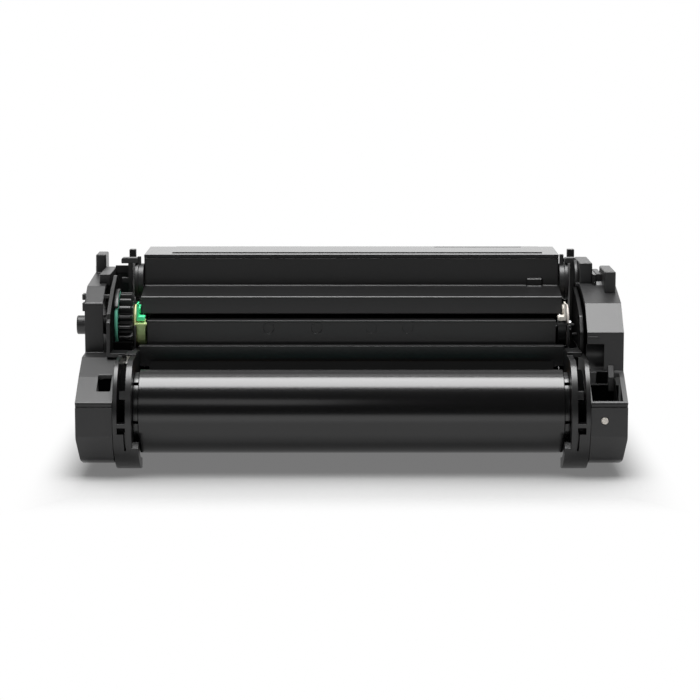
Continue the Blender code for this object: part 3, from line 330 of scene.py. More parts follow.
def taper_low_side(skin: bmesh.types.BMesh, side: int, face: float = 0.1599, bottom: float = 0.0053,
                   top: float = 0.0222, inward: float = 2.4 * MM) -> None:
    """Lean the lower outer side of an end cap inwards.

    Args:
        skin: The cap's mesh.
        side: -1 for the left cap, 1 for the right.
        face: Points further out than this, in metres, are moved.
        bottom: Height at which they move by the whole way.
        top: Height above which nothing moves.
        inward: The whole way.
    """
    everything = skin.verts[:] + skin.edges[:] + skin.faces[:]
    bmesh.ops.bisect_plane(skin, geom=everything, plane_co=(0.0, 0.0, top), plane_no=(0.0, 0.0, 1.0))
    for vert in skin.verts:
        if vert.co.x * side > face and vert.co.z < top:
            vert.co.x -= side * inward * (top - vert.co.z) / (top - bottom)


def merged_copy(node: Object, name: str, width: float = 0.25 * MM) -> Object:
    """Copy a node's mesh as one closed skin with its flat faces whole.

    Args:
        node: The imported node.
        name: Name of the new piece.
        width: Width of the rounding that its edges will get.

    Returns:
        An object at the origin, with the node's shape; an end cap's low outer side leans inwards.
    """
    mesh = node.data.copy()
    mesh.name = name
    skin = bmesh.new()
    skin.from_mesh(mesh)
    bmesh.ops.remove_doubles(skin, verts=skin.verts, dist=0.002 * MM)
    bmesh.ops.dissolve_limit(skin, angle_limit=math.radians(0.4), verts=skin.verts, edges=skin.edges)
    if name.endswith("end_cap_finished"):
        taper_low_side(skin, -1 if name.startswith("left") else 1)
    weigh_edges(skin, width)
    skin.to_mesh(mesh)
    skin.free()
    return link_mesh(name, mesh)


def grid_piece(name: str, points: np.ndarray, wrap_rows: bool = False, wrap_columns: bool = False,
               close_ends: bool = False) -> Object:
    """Make an object from a grid of points.

    Args:
        name: Name of the piece.
        points: Places of the points, rows by columns by 3.
        wrap_rows: Whether the last row joins the first.
        wrap_columns: Whether the last column joins the first.
        close_ends: Whether a flat face closes the first row, and another the last.

    Returns:
        The object, at the origin, with its faces pointing out.
    """
    rows, columns = points.shape[:2]
    i = np.arange(rows if wrap_rows else rows - 1)
    j = np.arange(columns if wrap_columns else columns - 1)
    here, across = np.meshgrid(i, j, indexing="ij")
    below = (here + 1) % rows
    beside = (across + 1) % columns
    faces = np.stack([here * columns + across, here * columns + beside,
                      below * columns + beside, below * columns + across], axis=-1).reshape(-1, 4).tolist()
    if close_ends:
        ring = np.arange(columns)
        faces += [ring.tolist(), (ring + (rows - 1) * columns).tolist()]
    mesh = bpy.data.meshes.new(name)
    mesh.from_pydata(points.reshape(-1, 3).tolist(), [], faces)
    skin = bmesh.new()
    skin.from_mesh(mesh)
    bmesh.ops.remove_doubles(skin, verts=skin.verts, dist=0.001 * MM)
    bmesh.ops.recalc_face_normals(skin, faces=skin.faces)
    skin.to_mesh(mesh)
    skin.free()
    mesh.shade_smooth()
    return link_mesh(name, mesh)


def front(depth_mm: float) -> float:
    """Y, in metres, of a depth in millimetres behind the cartridge's foremost line."""
    return FRONT_MM * MM + depth_mm * MM


def soft_corners(outline: np.ndarray, reach: float | np.ndarray, steps: int = 5) -> np.ndarray:
    """Round the corners of a closed outline with parabolas.

    Each corner c becomes (1-t)^2 a + 2t(1-t) c + t^2 b for t from 0 to 1, where a and b lie on its two sides.

    Args:
        outline: Corners, n by 2.
        reach: How far from each corner its curve starts, one length or n of them.
        steps: Points along each curve.

    Returns:
        The rounded outline, n * steps by 2.
    """
    corners = np.asarray(outline, float)
    reaches = np.broadcast_to(np.asarray(reach, float), (len(corners),))[:, None]
    ends = []
    for turn in (1, -1):
        way = np.roll(corners, turn, axis=0) - corners
        length = np.linalg.norm(way, axis=1, keepdims=True)
        ends.append(corners + way / length * np.minimum(reaches, 0.45 * length))
    t = np.linspace(0.0, 1.0, steps)[:, None, None]
    curve = (1 - t) ** 2 * ends[0] + 2 * t * (1 - t) * corners + t ** 2 * ends[1]
    return curve.transpose(1, 0, 2).reshape(-1, 2)


def around_axis(x: np.ndarray, radii: np.ndarray, angles: np.ndarray, centre: Corner) -> np.ndarray:
    """Points (x, cy - r cos a, cz + r sin a), so the angle 0 is straight ahead; the arrays spread out."""
    y = centre[0] - radii * np.cos(angles)
    z = centre[1] + radii * np.sin(angles)
    return np.stack(np.broadcast_arrays(x, y, z), axis=-1)


def turned_piece(name: str, profile: np.ndarray, centre: Corner, span_deg: Corner = (0.0, 360.0),
                 step_deg: float = 2.5) -> Object:
    """Carry a closed profile round an axis that runs along X.

    Args:
        name: Name of the piece.
        profile: Points of x and radius, n by 2, in metres.
        centre: Y and Z of the axis.
        span_deg: First and last angle.
        step_deg: Largest angle between two rows.

    Returns:
        A closed piece; a part turn is closed by a flat face at each end.
    """
    whole = abs(span_deg[1] - span_deg[0]) >= 360.0
    rows = int(math.ceil(abs(span_deg[1] - span_deg[0]) / step_deg)) + (0 if whole else 1)
    angles = np.radians(np.linspace(span_deg[0], span_deg[1], rows, endpoint=not whole))[:, None]
    return grid_piece(name, around_axis(profile[:, 0], profile[:, 1], angles, centre), whole, True, not whole)


def band_piece(name: str, ends: Corner, radii: Corner, soft: float, centre: Corner, span_deg: Corner,
               step_deg: float = 3.0) -> Object:
    """Carry a rectangle with soft corners part of the way round an axis.

    Args:
        name: Name of the piece.
        ends: Where it starts and ends along X, in millimetres.
        radii: Inner and outer radius, in millimetres.
        soft: How far from each corner its rounding starts, in millimetres.
        centre: Y and Z of the axis, in metres.
        span_deg: First and last angle.
        step_deg: Largest angle between two rows.

    Returns:
        A closed piece.
    """
    (near, far), (low, high) = ends, radii
    corners = np.array([(near, low), (near, high), (far, high), (far, low)]) * MM
    return turned_piece(name, soft_corners(corners, soft * MM, 3), centre, span_deg, step_deg)


def prism_piece(name: str, outline: np.ndarray, low: float, high: float, along: int = 0) -> Object:
    """Carry a closed outline straight along one axis, from low to high.

    Args:
        name: Name of the piece.
        outline: Points in the two other axes, in their order, n by 2, in metres.
        low: Where it starts on the axis.
        high: Where it ends.
        along: 0 for X, 1 for Y, 2 for Z.

    Returns:
        A closed piece with two flat ends.
    """
    others = [axis for axis in range(3) if axis != along]
    points = np.empty((2, len(outline), 3))
    points[:, :, others] = outline[None]
    points[0, :, along] = low
    points[1, :, along] = high
    return grid_piece(name, points, False, True, True)


def block_outline(first: Corner, second: Corner) -> np.ndarray:
    """Corners of a rectangle between two ranges, in millimetres, given in metres."""
    (a, b), (c, d) = first, second
    return np.array([(a, c), (b, c), (b, d), (a, d)]) * MM


def signed_area(outline: np.ndarray) -> float:
    """Twice the area of a closed outline; its sign tells which way round the outline runs."""
    after = np.roll(outline, -1, axis=0)
    return float(np.sum(outline[:, 0] * after[:, 1] - outline[:, 1] * after[:, 0]))


@dataclass
class DrumCover:
    """Swinging shutter over the drum: a smooth shell and a notched ring plate at each end."""

    node: str = "drum_cover"
    centre: Corner = DRUM_AXIS
    radius: float = 25.4 * MM
    wall: float = 1.8 * MM
    half_length: float = 124.5 * MM
    span_deg: Corner = (-96.0, 80.0)
    ring_radius: float = 24.2 * MM
    ring_width: float = 2.8 * MM
    arm_bore: float = 10.3 * MM
    arm_radius: float = 13.0 * MM
    arm_deg: Corner = (120.0, 240.0)
    ring_inset_deg: float = 4.0
    plate_overlap: float = 1.2 * MM
    notch_depth: float = 5.0 * MM
    notches_deg: tuple[Corner, ...] = ((-9.8, -6.4), (46.8, 50.6))

    def build(self, catalogue: Catalogue) -> None:
        """Make the shell and both plates; the shell stands for the node."""
        catalogue.stand_in(self.shell(), self.node)
        for side, name in SIDES:
            plate = self.end_plate(name + "_cover_plate", side)
            add_edges(plate, 0.15 * MM)
            catalogue.place(plate, catalogue.bodies[self.node], catalogue.slots[self.node])

    def shell(self) -> Object:
        """Shell: a long rectangle of the wall's thickness carried round the drum's axis."""
        inner = self.radius - self.wall
        corners = np.array([(-self.half_length, inner), (-self.half_length, self.radius),
                            (self.half_length, self.radius), (self.half_length, inner)])
        profile = soft_corners(corners, np.array([0.2, 0.6, 0.6, 0.2]) * MM, 6)
        return turned_piece("cover_shell", profile, self.centre, self.span_deg, 1.5)

    def rim(self, degrees: np.ndarray) -> np.ndarray:
        """Outer radius of an end plate at each angle.

        The ring's radius in front, less the notches; behind, the straight line r1 r2 sin(b-a) /
        (r1 sin(t-a) + r2 sin(b-t)) down to the arm's round end.
        """
        first, last = self.arm_deg
        top = self.span_deg[1] - self.ring_inset_deg
        bottom = self.span_deg[0] + self.ring_inset_deg + 360.0
        turn = np.where(degrees < bottom - 360.0, degrees + 360.0, degrees)
        radius = np.full(len(turn), self.ring_radius)
        for start, end in self.notches_deg:
            radius[(turn > start) & (turn < end)] -= self.notch_depth
        for (a, r1), (b, r2) in (((top, self.ring_radius), (first, self.arm_radius)),
                                 ((last, self.arm_radius), (bottom, self.ring_radius))):
            inside = (turn > a) & (turn < b)
            along, left = np.radians(turn[inside] - a), np.radians(b - turn[inside])
            product = r1 * r2 * math.sin(math.radians(b - a))
            radius[inside] = product / (r1 * np.sin(along) + r2 * np.sin(left))
        radius[(turn >= first) & (turn <= last)] = self.arm_radius
        return radius

    def end_plate(self, name: str, side: int) -> Object:
        """Plate between the arm's bore and the rim, as a grid of angle by the four corners of its section."""
        degrees = np.arange(0.0, 360.0, 1.0) + (self.span_deg[0] + self.ring_inset_deg)
        rim = self.rim(degrees)
        bore = np.full_like(rim, self.arm_bore)
        radii = np.stack([bore, rim, rim, bore], axis=1)
        near = side * (self.half_length - self.plate_overlap)
        far = side * (self.half_length + self.ring_width)
        stations = np.array([near, near, far, far])
        points = around_axis(stations, radii, np.radians(degrees)[:, None], self.centre)
        return grid_piece(name, points, True, True)


@dataclass
class AugerDrive:
    """Drive end of the toner auger: gear, thin flange, coupler, washer and the disc at the far end."""

    centre: Corner = AUGER_AXIS
    bore: float = 3.3 * MM
    teeth: int = 19
    module: float = 1.9 * MM
    tip_modules: float = 0.84
    tooth_modules: float = 2.04
    gear_ends: Corner = (-140.4 * MM, -131.9 * MM)
    phase: float = math.radians(7.0)
    flange_ends: Corner = (-142.6 * MM, -140.7 * MM)
    flange_radius: float = 20.8 * MM
    washer_ends: Corner = (130.1 * MM, 131.6 * MM)
    washer_radius: float = 12.6 * MM
    hub_radius: float = 9.0 * MM
    coupler_radius: float = 5.75 * MM
    coupler_stations: Corner = (-142.9 * MM, -145.7 * MM, -167.0 * MM)

    def build(self, catalogue: Catalogue) -> None:
        """Make every turned piece of the auger's shaft."""
        low, high = self.washer_ends
        catalogue.stand_in(self.gear(), "drive_gear")
        for name, node, ends, radius, soft in (
                ("flange_disc", "drive_flange", self.flange_ends, self.flange_radius, 0.7),
                ("washer_disc", "drive_washer", (-high, -low), self.washer_radius, 0.4),
                ("far_disc", "end_disc", (low, high), self.washer_radius, 0.4)):
            catalogue.stand_in(self.disc(name, ends, radius, soft * MM), node)
        catalogue.stand_in(self.coupler(), "drive_coupler")

    def disc(self, name: str, ends: Corner, radius: float, soft: float) -> Object:
        """Flat disc with a rounded rim: a rectangle between bore and rim carried round the axis."""
        near, far = ends
        corners = np.array([(near, self.bore), (near, radius), (far, radius), (far, self.bore)])
        profile = soft_corners(corners, np.array([0.1 * MM, soft, soft, 0.1 * MM]), 5)
        return turned_piece(name, profile, self.centre, step_deg=3.0)

    def coupler(self) -> Object:
        """Stepped coupler: its hub, its stem and a chamfered tip carried round the axis."""
        near, shoulder, tip = self.coupler_stations
        corners = np.array([(near, self.bore), (near, self.hub_radius), (shoulder, self.hub_radius),
                            (shoulder, self.coupler_radius), (tip, self.coupler_radius), (tip, self.bore)])
        reach = np.array([0.1, 0.3, 0.4, 0.1, 0.9, 0.4]) * MM
        return turned_piece("stepped_coupler", soft_corners(corners, reach, 5), self.centre, step_deg=4.0)

    def gear(self) -> Object:
        """Spur gear as a grid of angle by section.

        The radius is the root's plus the tooth's height times a trapezoid wave of the angle; the height
        falls off over the last part of the face width, so each tooth has a slanted end.
        """
        pitch = self.module * self.teeth / 2
        tip = pitch + self.tip_modules * self.module
        root = tip - self.tooth_modules * self.module
        shares = np.array([-0.5, -0.36, -0.31, -0.27, -0.16, -0.125, -0.09,
                           0.09, 0.125, 0.16, 0.27, 0.31, 0.36])
        heights = np.array([0.0, 0.0, 0.06, 0.22, 0.86, 0.97, 1.0, 1.0, 0.97, 0.86, 0.22, 0.06, 0.0])
        turn = (np.arange(self.teeth)[:, None] + shares[None]).ravel() * math.tau / self.teeth
        height = np.tile(heights, self.teeth)
        low, high = self.gear_ends
        stations = np.array([low, low, low + 0.5 * MM, high - 1.4 * MM, high, high])
        rise = np.array([0.0, 0.82, 1.0, 1.0, 0.45, 0.0])
        body = np.array([0.0, 1.0, 1.0, 1.0, 1.0, 0.0])
        radii = self.bore + body * (root - self.bore) + height[:, None] * (tip - root) * rise
        angles = math.pi - (turn + self.phase)[:, None]
        gear = grid_piece("drive_gear_toothed", around_axis(stations, radii, angles, self.centre), True, True)
        add_edges(gear, 0.12 * MM, angle_deg=40.0)
        return gear


@dataclass
class FillPlugs:
    """Dished plugs that close the filling holes at both ends of the hopper."""

    centre: Corner = (-0.040, 0.1025)
    near: float = 127.9 * MM
    width: float = 5.4 * MM
    radius: float = 11.5 * MM

    def build(self, catalogue: Catalogue) -> None:
        """Make both plugs: a dished profile carried round the plug's axis."""
        end = self.near + self.width
        dish = end - 1.4 * MM
        corners = np.array([(end, 0.05 * MM), (end, 5.0 * MM), (dish, 6.5 * MM), (dish, 9.5 * MM),
                            (end, 10.0 * MM), (end, self.radius), (end - 2.2 * MM, self.radius),
                            (end - 2.4 * MM, self.radius - 0.7 * MM), (self.near, self.radius - 0.7 * MM),
                            (self.near, 0.05 * MM)])
        reach = np.array([0.01, 0.4, 0.4, 0.4, 0.3, 0.5, 0.2, 0.2, 0.2, 0.01]) * MM
        profile = soft_corners(corners, reach, 4)
        for side, name in SIDES:
            mirrored = profile * np.array([side, 1.0])
            plug = turned_piece(name + "_dished_plug", mirrored, self.centre, step_deg=4.0)
            catalogue.stand_in(plug, name + "_fill_plug")


@dataclass(frozen=True)
class Block:
    """One moulded or pressed block: its X, Y (behind the front line) and Z ranges in millimetres."""

    name: str
    x: Corner
    y: Corner
    z: Corner
    slot: str = "dark_grey_plastic"
    soft: float = 0.4
    body: str = "housing"

    def build(self, catalogue: Catalogue) -> None:
        """Carry the block's side outline along X and round its edges."""
        outline = block_outline((self.y[0] + FRONT_MM, self.y[1] + FRONT_MM), self.z)
        smallest = min(high - low for low, high in (self.x, self.y, self.z))
        piece = prism_piece(self.name, outline, self.x[0] * MM, self.x[1] * MM)
        add_edges(piece, min(self.soft, SOFT_SHARE * smallest) * MM, 3)
        catalogue.place(piece, self.body, self.slot)


@dataclass
class EndFittings:
    """Posts, rails, guards and pegs on and beside the end caps, and near-black sheets of painted shade in the
    caps' openings and on the side plates.
    """

    blocks: tuple[Block, ...] = (
        Block("left_rear_post", (-159.7, -153.3), (128.6, 147.0), (99.0, 116.9), soft=0.9),
        Block("left_post_foot", (-159.2, -156.3), (125.5, 129.2), (99.0, 106.0)),
        Block("left_top_rail", (-153.4, -146.8), (87.6, 130.0), (102.5, 109.2), soft=0.6),
        Block("left_thin_rib", (-146.9, -138.5), (123.5, 124.7), (106.0, 110.6), soft=0.2),
        Block("left_gear_guard", (-148.8, -137.9), (124.0, 127.0), (56.7, 109.4), "black_plastic", 0.5),
        Block("left_upper_nub", (-161.4, -159.7), (62.6, 69.0), (96.4, 100.0), soft=0.5),
        Block("left_lower_nub", (-161.4, -159.7), (62.6, 69.0), (89.6, 94.8), soft=0.5),
        Block("left_plate_knot", (-148.8, -144.8), (64.0, 66.5), (97.2, 99.4)),
        Block("right_rear_block", (138.75, 146.6), (88.0, 124.0), (102.0, 116.0), soft=0.8),
        Block("right_front_post", (151.9, 158.6), (65.6, 100.0), (96.5, 113.2), soft=0.9),
        Block("right_low_rail", (148.5, 152.2), (85.0, 112.0), (102.0, 109.8), soft=0.6),
        Block("right_dark_rail", (146.4, 148.8), (84.0, 110.0), (102.0, 109.4), "black_plastic"),
        Block("right_peg", (146.9, 147.7), (80.5, 84.0), (100.5, 105.0), soft=0.2),
        Block("right_gear_guard", (133.4, 138.0), (153.0, 155.5), (80.0, 112.0), "black_plastic", 0.5),
        Block("right_plate_knot", (136.6, 140.0), (88.0, 91.0), (101.6, 103.8)),
        Block("right_small_hook", (128.1, 130.6), (106.6, 109.0), (111.0, 119.3), "black_plastic", 0.5),
        Block("left_small_hook", (-131.8, -129.6), (106.6, 109.0), (111.0, 118.0), "black_plastic", 0.5),
        Block("left_step_plate", (-135.9, -127.8), (41.6, 57.6), (65.6, 66.8), soft=0.35),
        # The coated_steel blocks below are painted shade: near-black matt sheets before the flange's lower
        # part, in the left opening and in the right pocket.
        Block("left_low_painted_shade_sheet", (-142.4, -131.4), (56.2, 57.8), (66.6, 72.0), "coated_steel"),
        Block("left_opening_painted_shade_back", (-148.9, -139.6), (26.4, 27.0), (38.0, 54.2), "coated_steel"),
        Block("left_opening_painted_shade_side", (-149.2, -148.7), (9.0, 26.5), (34.0, 46.4), "coated_steel"),
        Block("right_pocket_painted_shade_back", (139.6, 157.1), (27.2, 27.75), (34.2, 50.5), "coated_steel"),
        Block("right_pocket_rim", (139.6, 150.6), (26.6, 27.75), (50.4, 51.3), soft=0.35),
        Block("right_pocket_painted_shade_upper", (144.1, 150.6), (27.2, 27.75), (51.2, 58.4), "coated_steel"),
        Block("left_bracket_stud", (-140.2, -136.0), (144.6, 149.2), (103.9, 118.4), soft=0.5),
        Block("right_bracket_stud", (136.0, 140.6), (144.6, 149.2), (103.9, 118.4), soft=0.5),
        Block("right_shaft_stop", (131.9, 134.4), (69.2, 71.6), (80.0, 81.2), soft=0.3),
        Block("right_spring_foot", (133.2, 136.0), (69.0, 71.4), (74.4, 75.6), soft=0.3),
        Block("right_cap_rib", (138.75, 144.9), (29.0, 30.6), (78.0, 79.0), soft=0.3),
    )
    head_near: float = 131.4
    head_ends: Corner = (141.6, 138.3)
    head_z: Corner = (113.9, 117.3)
    head_depth: Corner = (104.6, 111.0)
    strip_x: Corner = (136.4, 138.4)
    strip_start: Corner = (106.0, 116.6)
    strip_reach: float = 14.0
    strip_power: float = 1.6
    strip_thickness: float = 1.8

    def build(self, catalogue: Catalogue) -> None:
        """Make every block, the rounded bracket heads, the curved strip and the flat shapes."""
        for block in self.blocks:
            block.build(catalogue)
        for (side, name), far in zip(SIDES, self.head_ends):
            catalogue.place(self.head(name, side, far), "housing", "dark_grey_plastic")
        catalogue.place(self.curved_strip(), "housing", "dark_grey_plastic")
        for name, outline, ends, slot in self.shapes():
            piece = prism_piece(name, (outline + np.array([FRONT_MM, 0.0])) * MM, ends[0] * MM, ends[1] * MM)
            add_edges(piece, 0.12 * MM)
            catalogue.place(piece, "housing", slot)

    def shapes(self) -> tuple[tuple[str, np.ndarray, Corner, str], ...]:
        """Side outlines (behind the front line, height) in millimetres, with their X ranges and slots."""
        left_shade_liner_outline = np.array([(42.0, 67.6), (103.0, 67.6), (103.0, 103.0), (90.6, 107.2), (72.4, 101.6),
                               (58.4, 96.0), (45.0, 89.8), (45.0, 86.4), (42.0, 84.8)])
        right_shade_liner_outline = np.array([(51.0, 67.9), (103.0, 67.9), (103.0, 99.4), (75.3, 93.8), (57.8, 86.8),
                                (51.0, 77.6)])
        pocket = np.array([(4.3, 34.3), (27.1, 34.3), (27.1, 56.8), (4.3, 44.4)])
        ramp = np.array([(79.0, 98.0), (92.0, 98.0), (92.0, 105.2), (84.2, 105.2), (79.0, 100.4)])
        hub = soft_corners(np.array([(75.2, 78.5), (85.0, 88.3), (94.8, 78.5), (85.0, 68.7)]), 6.9, 7)
        # The coated_steel liners and the pocket's side are painted shade: near-black matt sheets on the side
        # plates' inner faces and in the right pocket.
        return (("left_plate_painted_shade_liner", self.ring_cut(left_shade_liner_outline, hub), (-142.88, -142.72), "coated_steel"),
                ("right_plate_painted_shade_liner", right_shade_liner_outline, (136.0, 136.18), "coated_steel"),
                ("right_pocket_painted_shade_side", pocket, (154.0, 154.38), "coated_steel"),
                ("right_ramp_block", ramp, (148.6, 152.2), "dark_grey_plastic"))

    @staticmethod
    def ring_cut(outline: np.ndarray, hole: np.ndarray) -> np.ndarray:
        """Outline that runs in to a hole, round it the other way and back out, as one closed line."""
        start = int(np.argmin(np.linalg.norm(hole - outline[0], axis=1)))
        turned = np.roll(hole, -start, axis=0)
        if signed_area(hole) * signed_area(outline) > 0:
            turned = np.roll(turned[::-1], 1, axis=0)
        gap = np.array([0.02, 0.0])
        return np.concatenate([outline, outline[:1] + gap, turned + gap, turned[:1]])

    def head(self, name: str, side: int, far: float) -> Object:
        """Rounded bracket head: a soft rectangle in X and Z carried along Y."""
        corners = block_outline((self.head_near, far), self.head_z)
        outline = soft_corners(corners, np.array([0.4, 0.6, 1.6, 1.2]) * MM, 6) * np.array([side, 1.0])
        low, high = self.head_depth
        piece = prism_piece(name + "_bracket_head", outline, front(low), front(high), 1)
        add_edges(piece, 0.25 * MM, angle_deg=50.0)
        return piece

    def curved_strip(self) -> Object:
        """Strip beside the right bracket: a curved line in Y and Z, given a width in X and a thickness."""
        t = np.linspace(0.0, 1.0, 26)
        y = front(self.strip_start[0]) - (1.0 - (1.0 - t) ** 2) * self.strip_reach * MM
        z = (self.strip_start[1] - self.strip_reach * t ** self.strip_power) * MM
        along = np.stack([np.gradient(y), np.gradient(z)])
        along /= np.linalg.norm(along, axis=0)
        near, far = self.strip_x
        depth = np.array([0.0, 0.0, self.strip_thickness, self.strip_thickness]) * MM
        points = np.empty((len(t), 4, 3))
        points[:, :, 0] = np.array([near, far, far, near]) * MM
        points[:, :, 1] = y[:, None] - along[1][:, None] * depth
        points[:, :, 2] = z[:, None] + along[0][:, None] * depth
        piece = grid_piece("right_curved_strip", points, False, True, True)
        add_edges(piece, 0.4 * MM, angle_deg=50.0)
        return piece


@dataclass
class ShaftClips:
    """L-shaped spring clips that hold the auger's bushes down beside the hopper's lip, in millimetres."""

    leg_x: Corner = (128.0, 129.8)
    leg_z: Corner = (82.7, 93.4)
    leg_width: float = 1.35
    foot_x: float = 124.9
    foot_top: float = 85.3
    depth: Corner = (71.0, 79.6)
    bow_radii: Corner = (7.0, 12.4)
    bow_span_deg: Corner = (60.0, 155.0)

    def build(self, catalogue: Catalogue) -> None:
        """Make both clips, and behind each its bow over the shaft."""
        for side, name in SIDES:
            node = name + "_bush_clip"
            catalogue.stand_in(self.clip(name, side), node)
            catalogue.place(self.bow(name, side), catalogue.bodies[node], catalogue.slots[node])

    def clip(self, name: str, side: int) -> Object:
        """Leg, foot and knob: an L in X and Z carried along Y."""
        far, (low, high) = self.leg_x[1], self.leg_z
        near = far - self.leg_width
        corners = np.array([(self.foot_x, low), (far, low), (far, high - 1.6), (far - 0.3, high),
                            (near + 0.1, high), (near + 0.1, high - 1.2), (near + 0.5, high - 1.9),
                            (near, self.foot_top), (self.foot_x, self.foot_top)]) * MM
        reach = np.array([0.7, 0.7, 0.5, 0.5, 0.4, 0.3, 0.4, 0.8, 0.9]) * MM
        outline = soft_corners(corners, reach, 4) * np.array([side, 1.0])
        piece = prism_piece(name + "_spring_clip", outline, front(self.depth[0]), front(self.depth[1]), 1)
        add_edges(piece, 0.35 * MM, 3, 50.0)
        return piece

    def bow(self, name: str, side: int) -> Object:
        """Bow over the shaft behind the leg: a thin ring section carried round the shaft's axis."""
        ends = (side * self.leg_x[0], side * self.leg_x[1])
        return band_piece(name + "_clip_bow", ends, self.bow_radii, 0.3, AUGER_AXIS, self.bow_span_deg, 4.0)


@dataclass
class SlotShadeBands:
    """Near-black matt bands of painted shade in the slots of the round side walls, before the drum's gear and
    hub, and the flange's hood.

    Lengths are in millimetres.
    """

    slot_x: Corner = (131.15, 135.75)
    slot_radii: Corner = (23.4, 24.0)
    slot_span_deg: Corner = (-14.0, 92.0)
    hood_x: Corner = (-142.9, -140.5)
    hood_radii: Corner = (21.1, 21.9)
    hood_span_deg: Corner = (36.0, 112.0)

    def build(self, catalogue: Catalogue) -> None:
        """Carry a band of painted shade round the drum's axis in each slot, and the hood round the auger's.
        """
        for side, name in SIDES:
            ends = (side * self.slot_x[0], side * self.slot_x[1])
            band = band_piece(name + "_slot_painted_shade_band", ends, self.slot_radii, 0.15, DRUM_AXIS,
                              self.slot_span_deg)
            catalogue.place(band, "housing", "coated_steel")
        hood = band_piece("left_flange_hood", self.hood_x, self.hood_radii, 0.2, AUGER_AXIS,
                          self.hood_span_deg)
        catalogue.place(hood, "housing", "dark_grey_plastic")


def shift_corners(piece: Object, box: Box, axis: int, place: float) -> None:
    """Bring the corners of one block of a copied node to a new place along X or Z.

    Args:
        piece: The copy.
        box: X, Y (behind the front line) and Z ranges, in millimetres, that hold those corners.
        axis: 0 for X, 2 for Z.
        place: Their new place along that axis, in millimetres.
    """
    points = np.empty(len(piece.data.vertices) * 3)
    piece.data.vertices.foreach_get("co", points)
    points = points.reshape(-1, 3)
    low, high = (np.array(box).T + np.array([0.0, FRONT_MM, 0.0])) * MM
    inside = np.all((points >= low) & (points <= high), axis=1)
    points[inside, axis] = place * MM
    piece.data.vertices.foreach_set("co", points.ravel())
    piece.data.update()
    LOG.info("%s: %d corners brought to %.1f mm", piece.name, int(inside.sum()), place)


@dataclass
class DressedNodes:
    """All other nodes: a copy with rounded edges stands for each, with a few blocks' corners shifted."""

    edge_widths: dict[str, float] = field(default_factory=lambda: {
        "hopper_body": 0.65 * MM, "hopper_lid": 0.5 * MM, "auger_cover": 0.35 * MM, "drum_frame": 0.3 * MM,
        "left_end_cap": 0.6 * MM, "right_end_cap": 0.6 * MM, "left_bush": 0.3 * MM, "left_bracket": 0.4 * MM,
        "right_bracket": 0.4 * MM})
    usual_width: float = 0.25 * MM
    strip_width: float = 0.1 * MM
    thin: tuple[str, ...] = ("doctor_blade", "wiper_blade", "wiper_bracket", "waste_auger")
    shifted: dict[str, tuple[Shift, ...]] = field(
        default_factory=lambda: {
            "left_end_cap": ((((-153.3, -146.7), (87.0, 95.0), (109.0, 114.0)), 2, 106.0),
                             (((-160.0, -153.0), (128.0, 135.0), (112.0, 118.0)), 2, 110.0)),
            "right_end_cap": ((((138.0, 147.0), (105.0, 115.0), (112.0, 118.0)), 2, 110.0),
                              (((152.0, 158.6), (65.0, 72.0), (110.0, 117.0)), 2, 108.0),
                              (((154.3, 154.5), (3.5, 28.3), (33.5, 60.0)), 0, 157.2)),
            "left_bracket": ((((-138.0, -133.5), (144.0, 150.0), (115.0, 119.0)), 2, 112.0),),
            "right_bracket": ((((133.5, 138.0), (144.0, 150.0), (115.0, 119.0)), 2, 112.0),)})
    # The right bush is painted black, not its slot's colour, for the shade that it sits in.
    painted_shade_repaints: dict[str, str] = field(default_factory=lambda: {"right_bush": "black_plastic"})

    def build(self, catalogue: Catalogue) -> None:
        """Dress every node that no other piece stands for."""
        for name in sorted(set(catalogue.nodes) - catalogue.made):
            width = self.strip_width if name in self.thin else self.edge_widths.get(name, self.usual_width)
            piece = merged_copy(catalogue.nodes[name], name + "_finished", width)
            for box, axis, place in self.shifted.get(name, ()):
                shift_corners(piece, box, axis, place)
            add_edges(piece, width)
            piece.modifiers["edges"].limit_method = "WEIGHT"
            catalogue.stand_in(piece, name)
            if name in self.painted_shade_repaints:
                catalogue.place(piece, catalogue.bodies[name], self.painted_shade_repaints[name])


@dataclass(frozen=True)
class Softbox:
    """One rectangular softbox: its centre, its width and depth in metres, and the brightness of its face."""

    name: str
    place: Corner
    size: Corner
    radiance: float
    aim: Corner = (0.0, -0.1, 0.05)

    def build(self) -> None:
        """Add the lamp, turned to the point that it faces; a radiance of 1 is white."""
        lamp = bpy.data.lights.new(self.name, "AREA")
        lamp.shape = "RECTANGLE"
        lamp.size, lamp.size_y = self.size
        lamp.energy = self.radiance * math.pi * self.size[0] * self.size[1]
        holder = bpy.data.objects.new(self.name, lamp)
        holder.location = self.place
        holder.rotation_mode = "QUATERNION"
        holder.rotation_quaternion = (Vector(self.aim) - Vector(self.place)).to_track_quat("-Z", "Y")
        bpy.context.scene.collection.objects.link(holder)


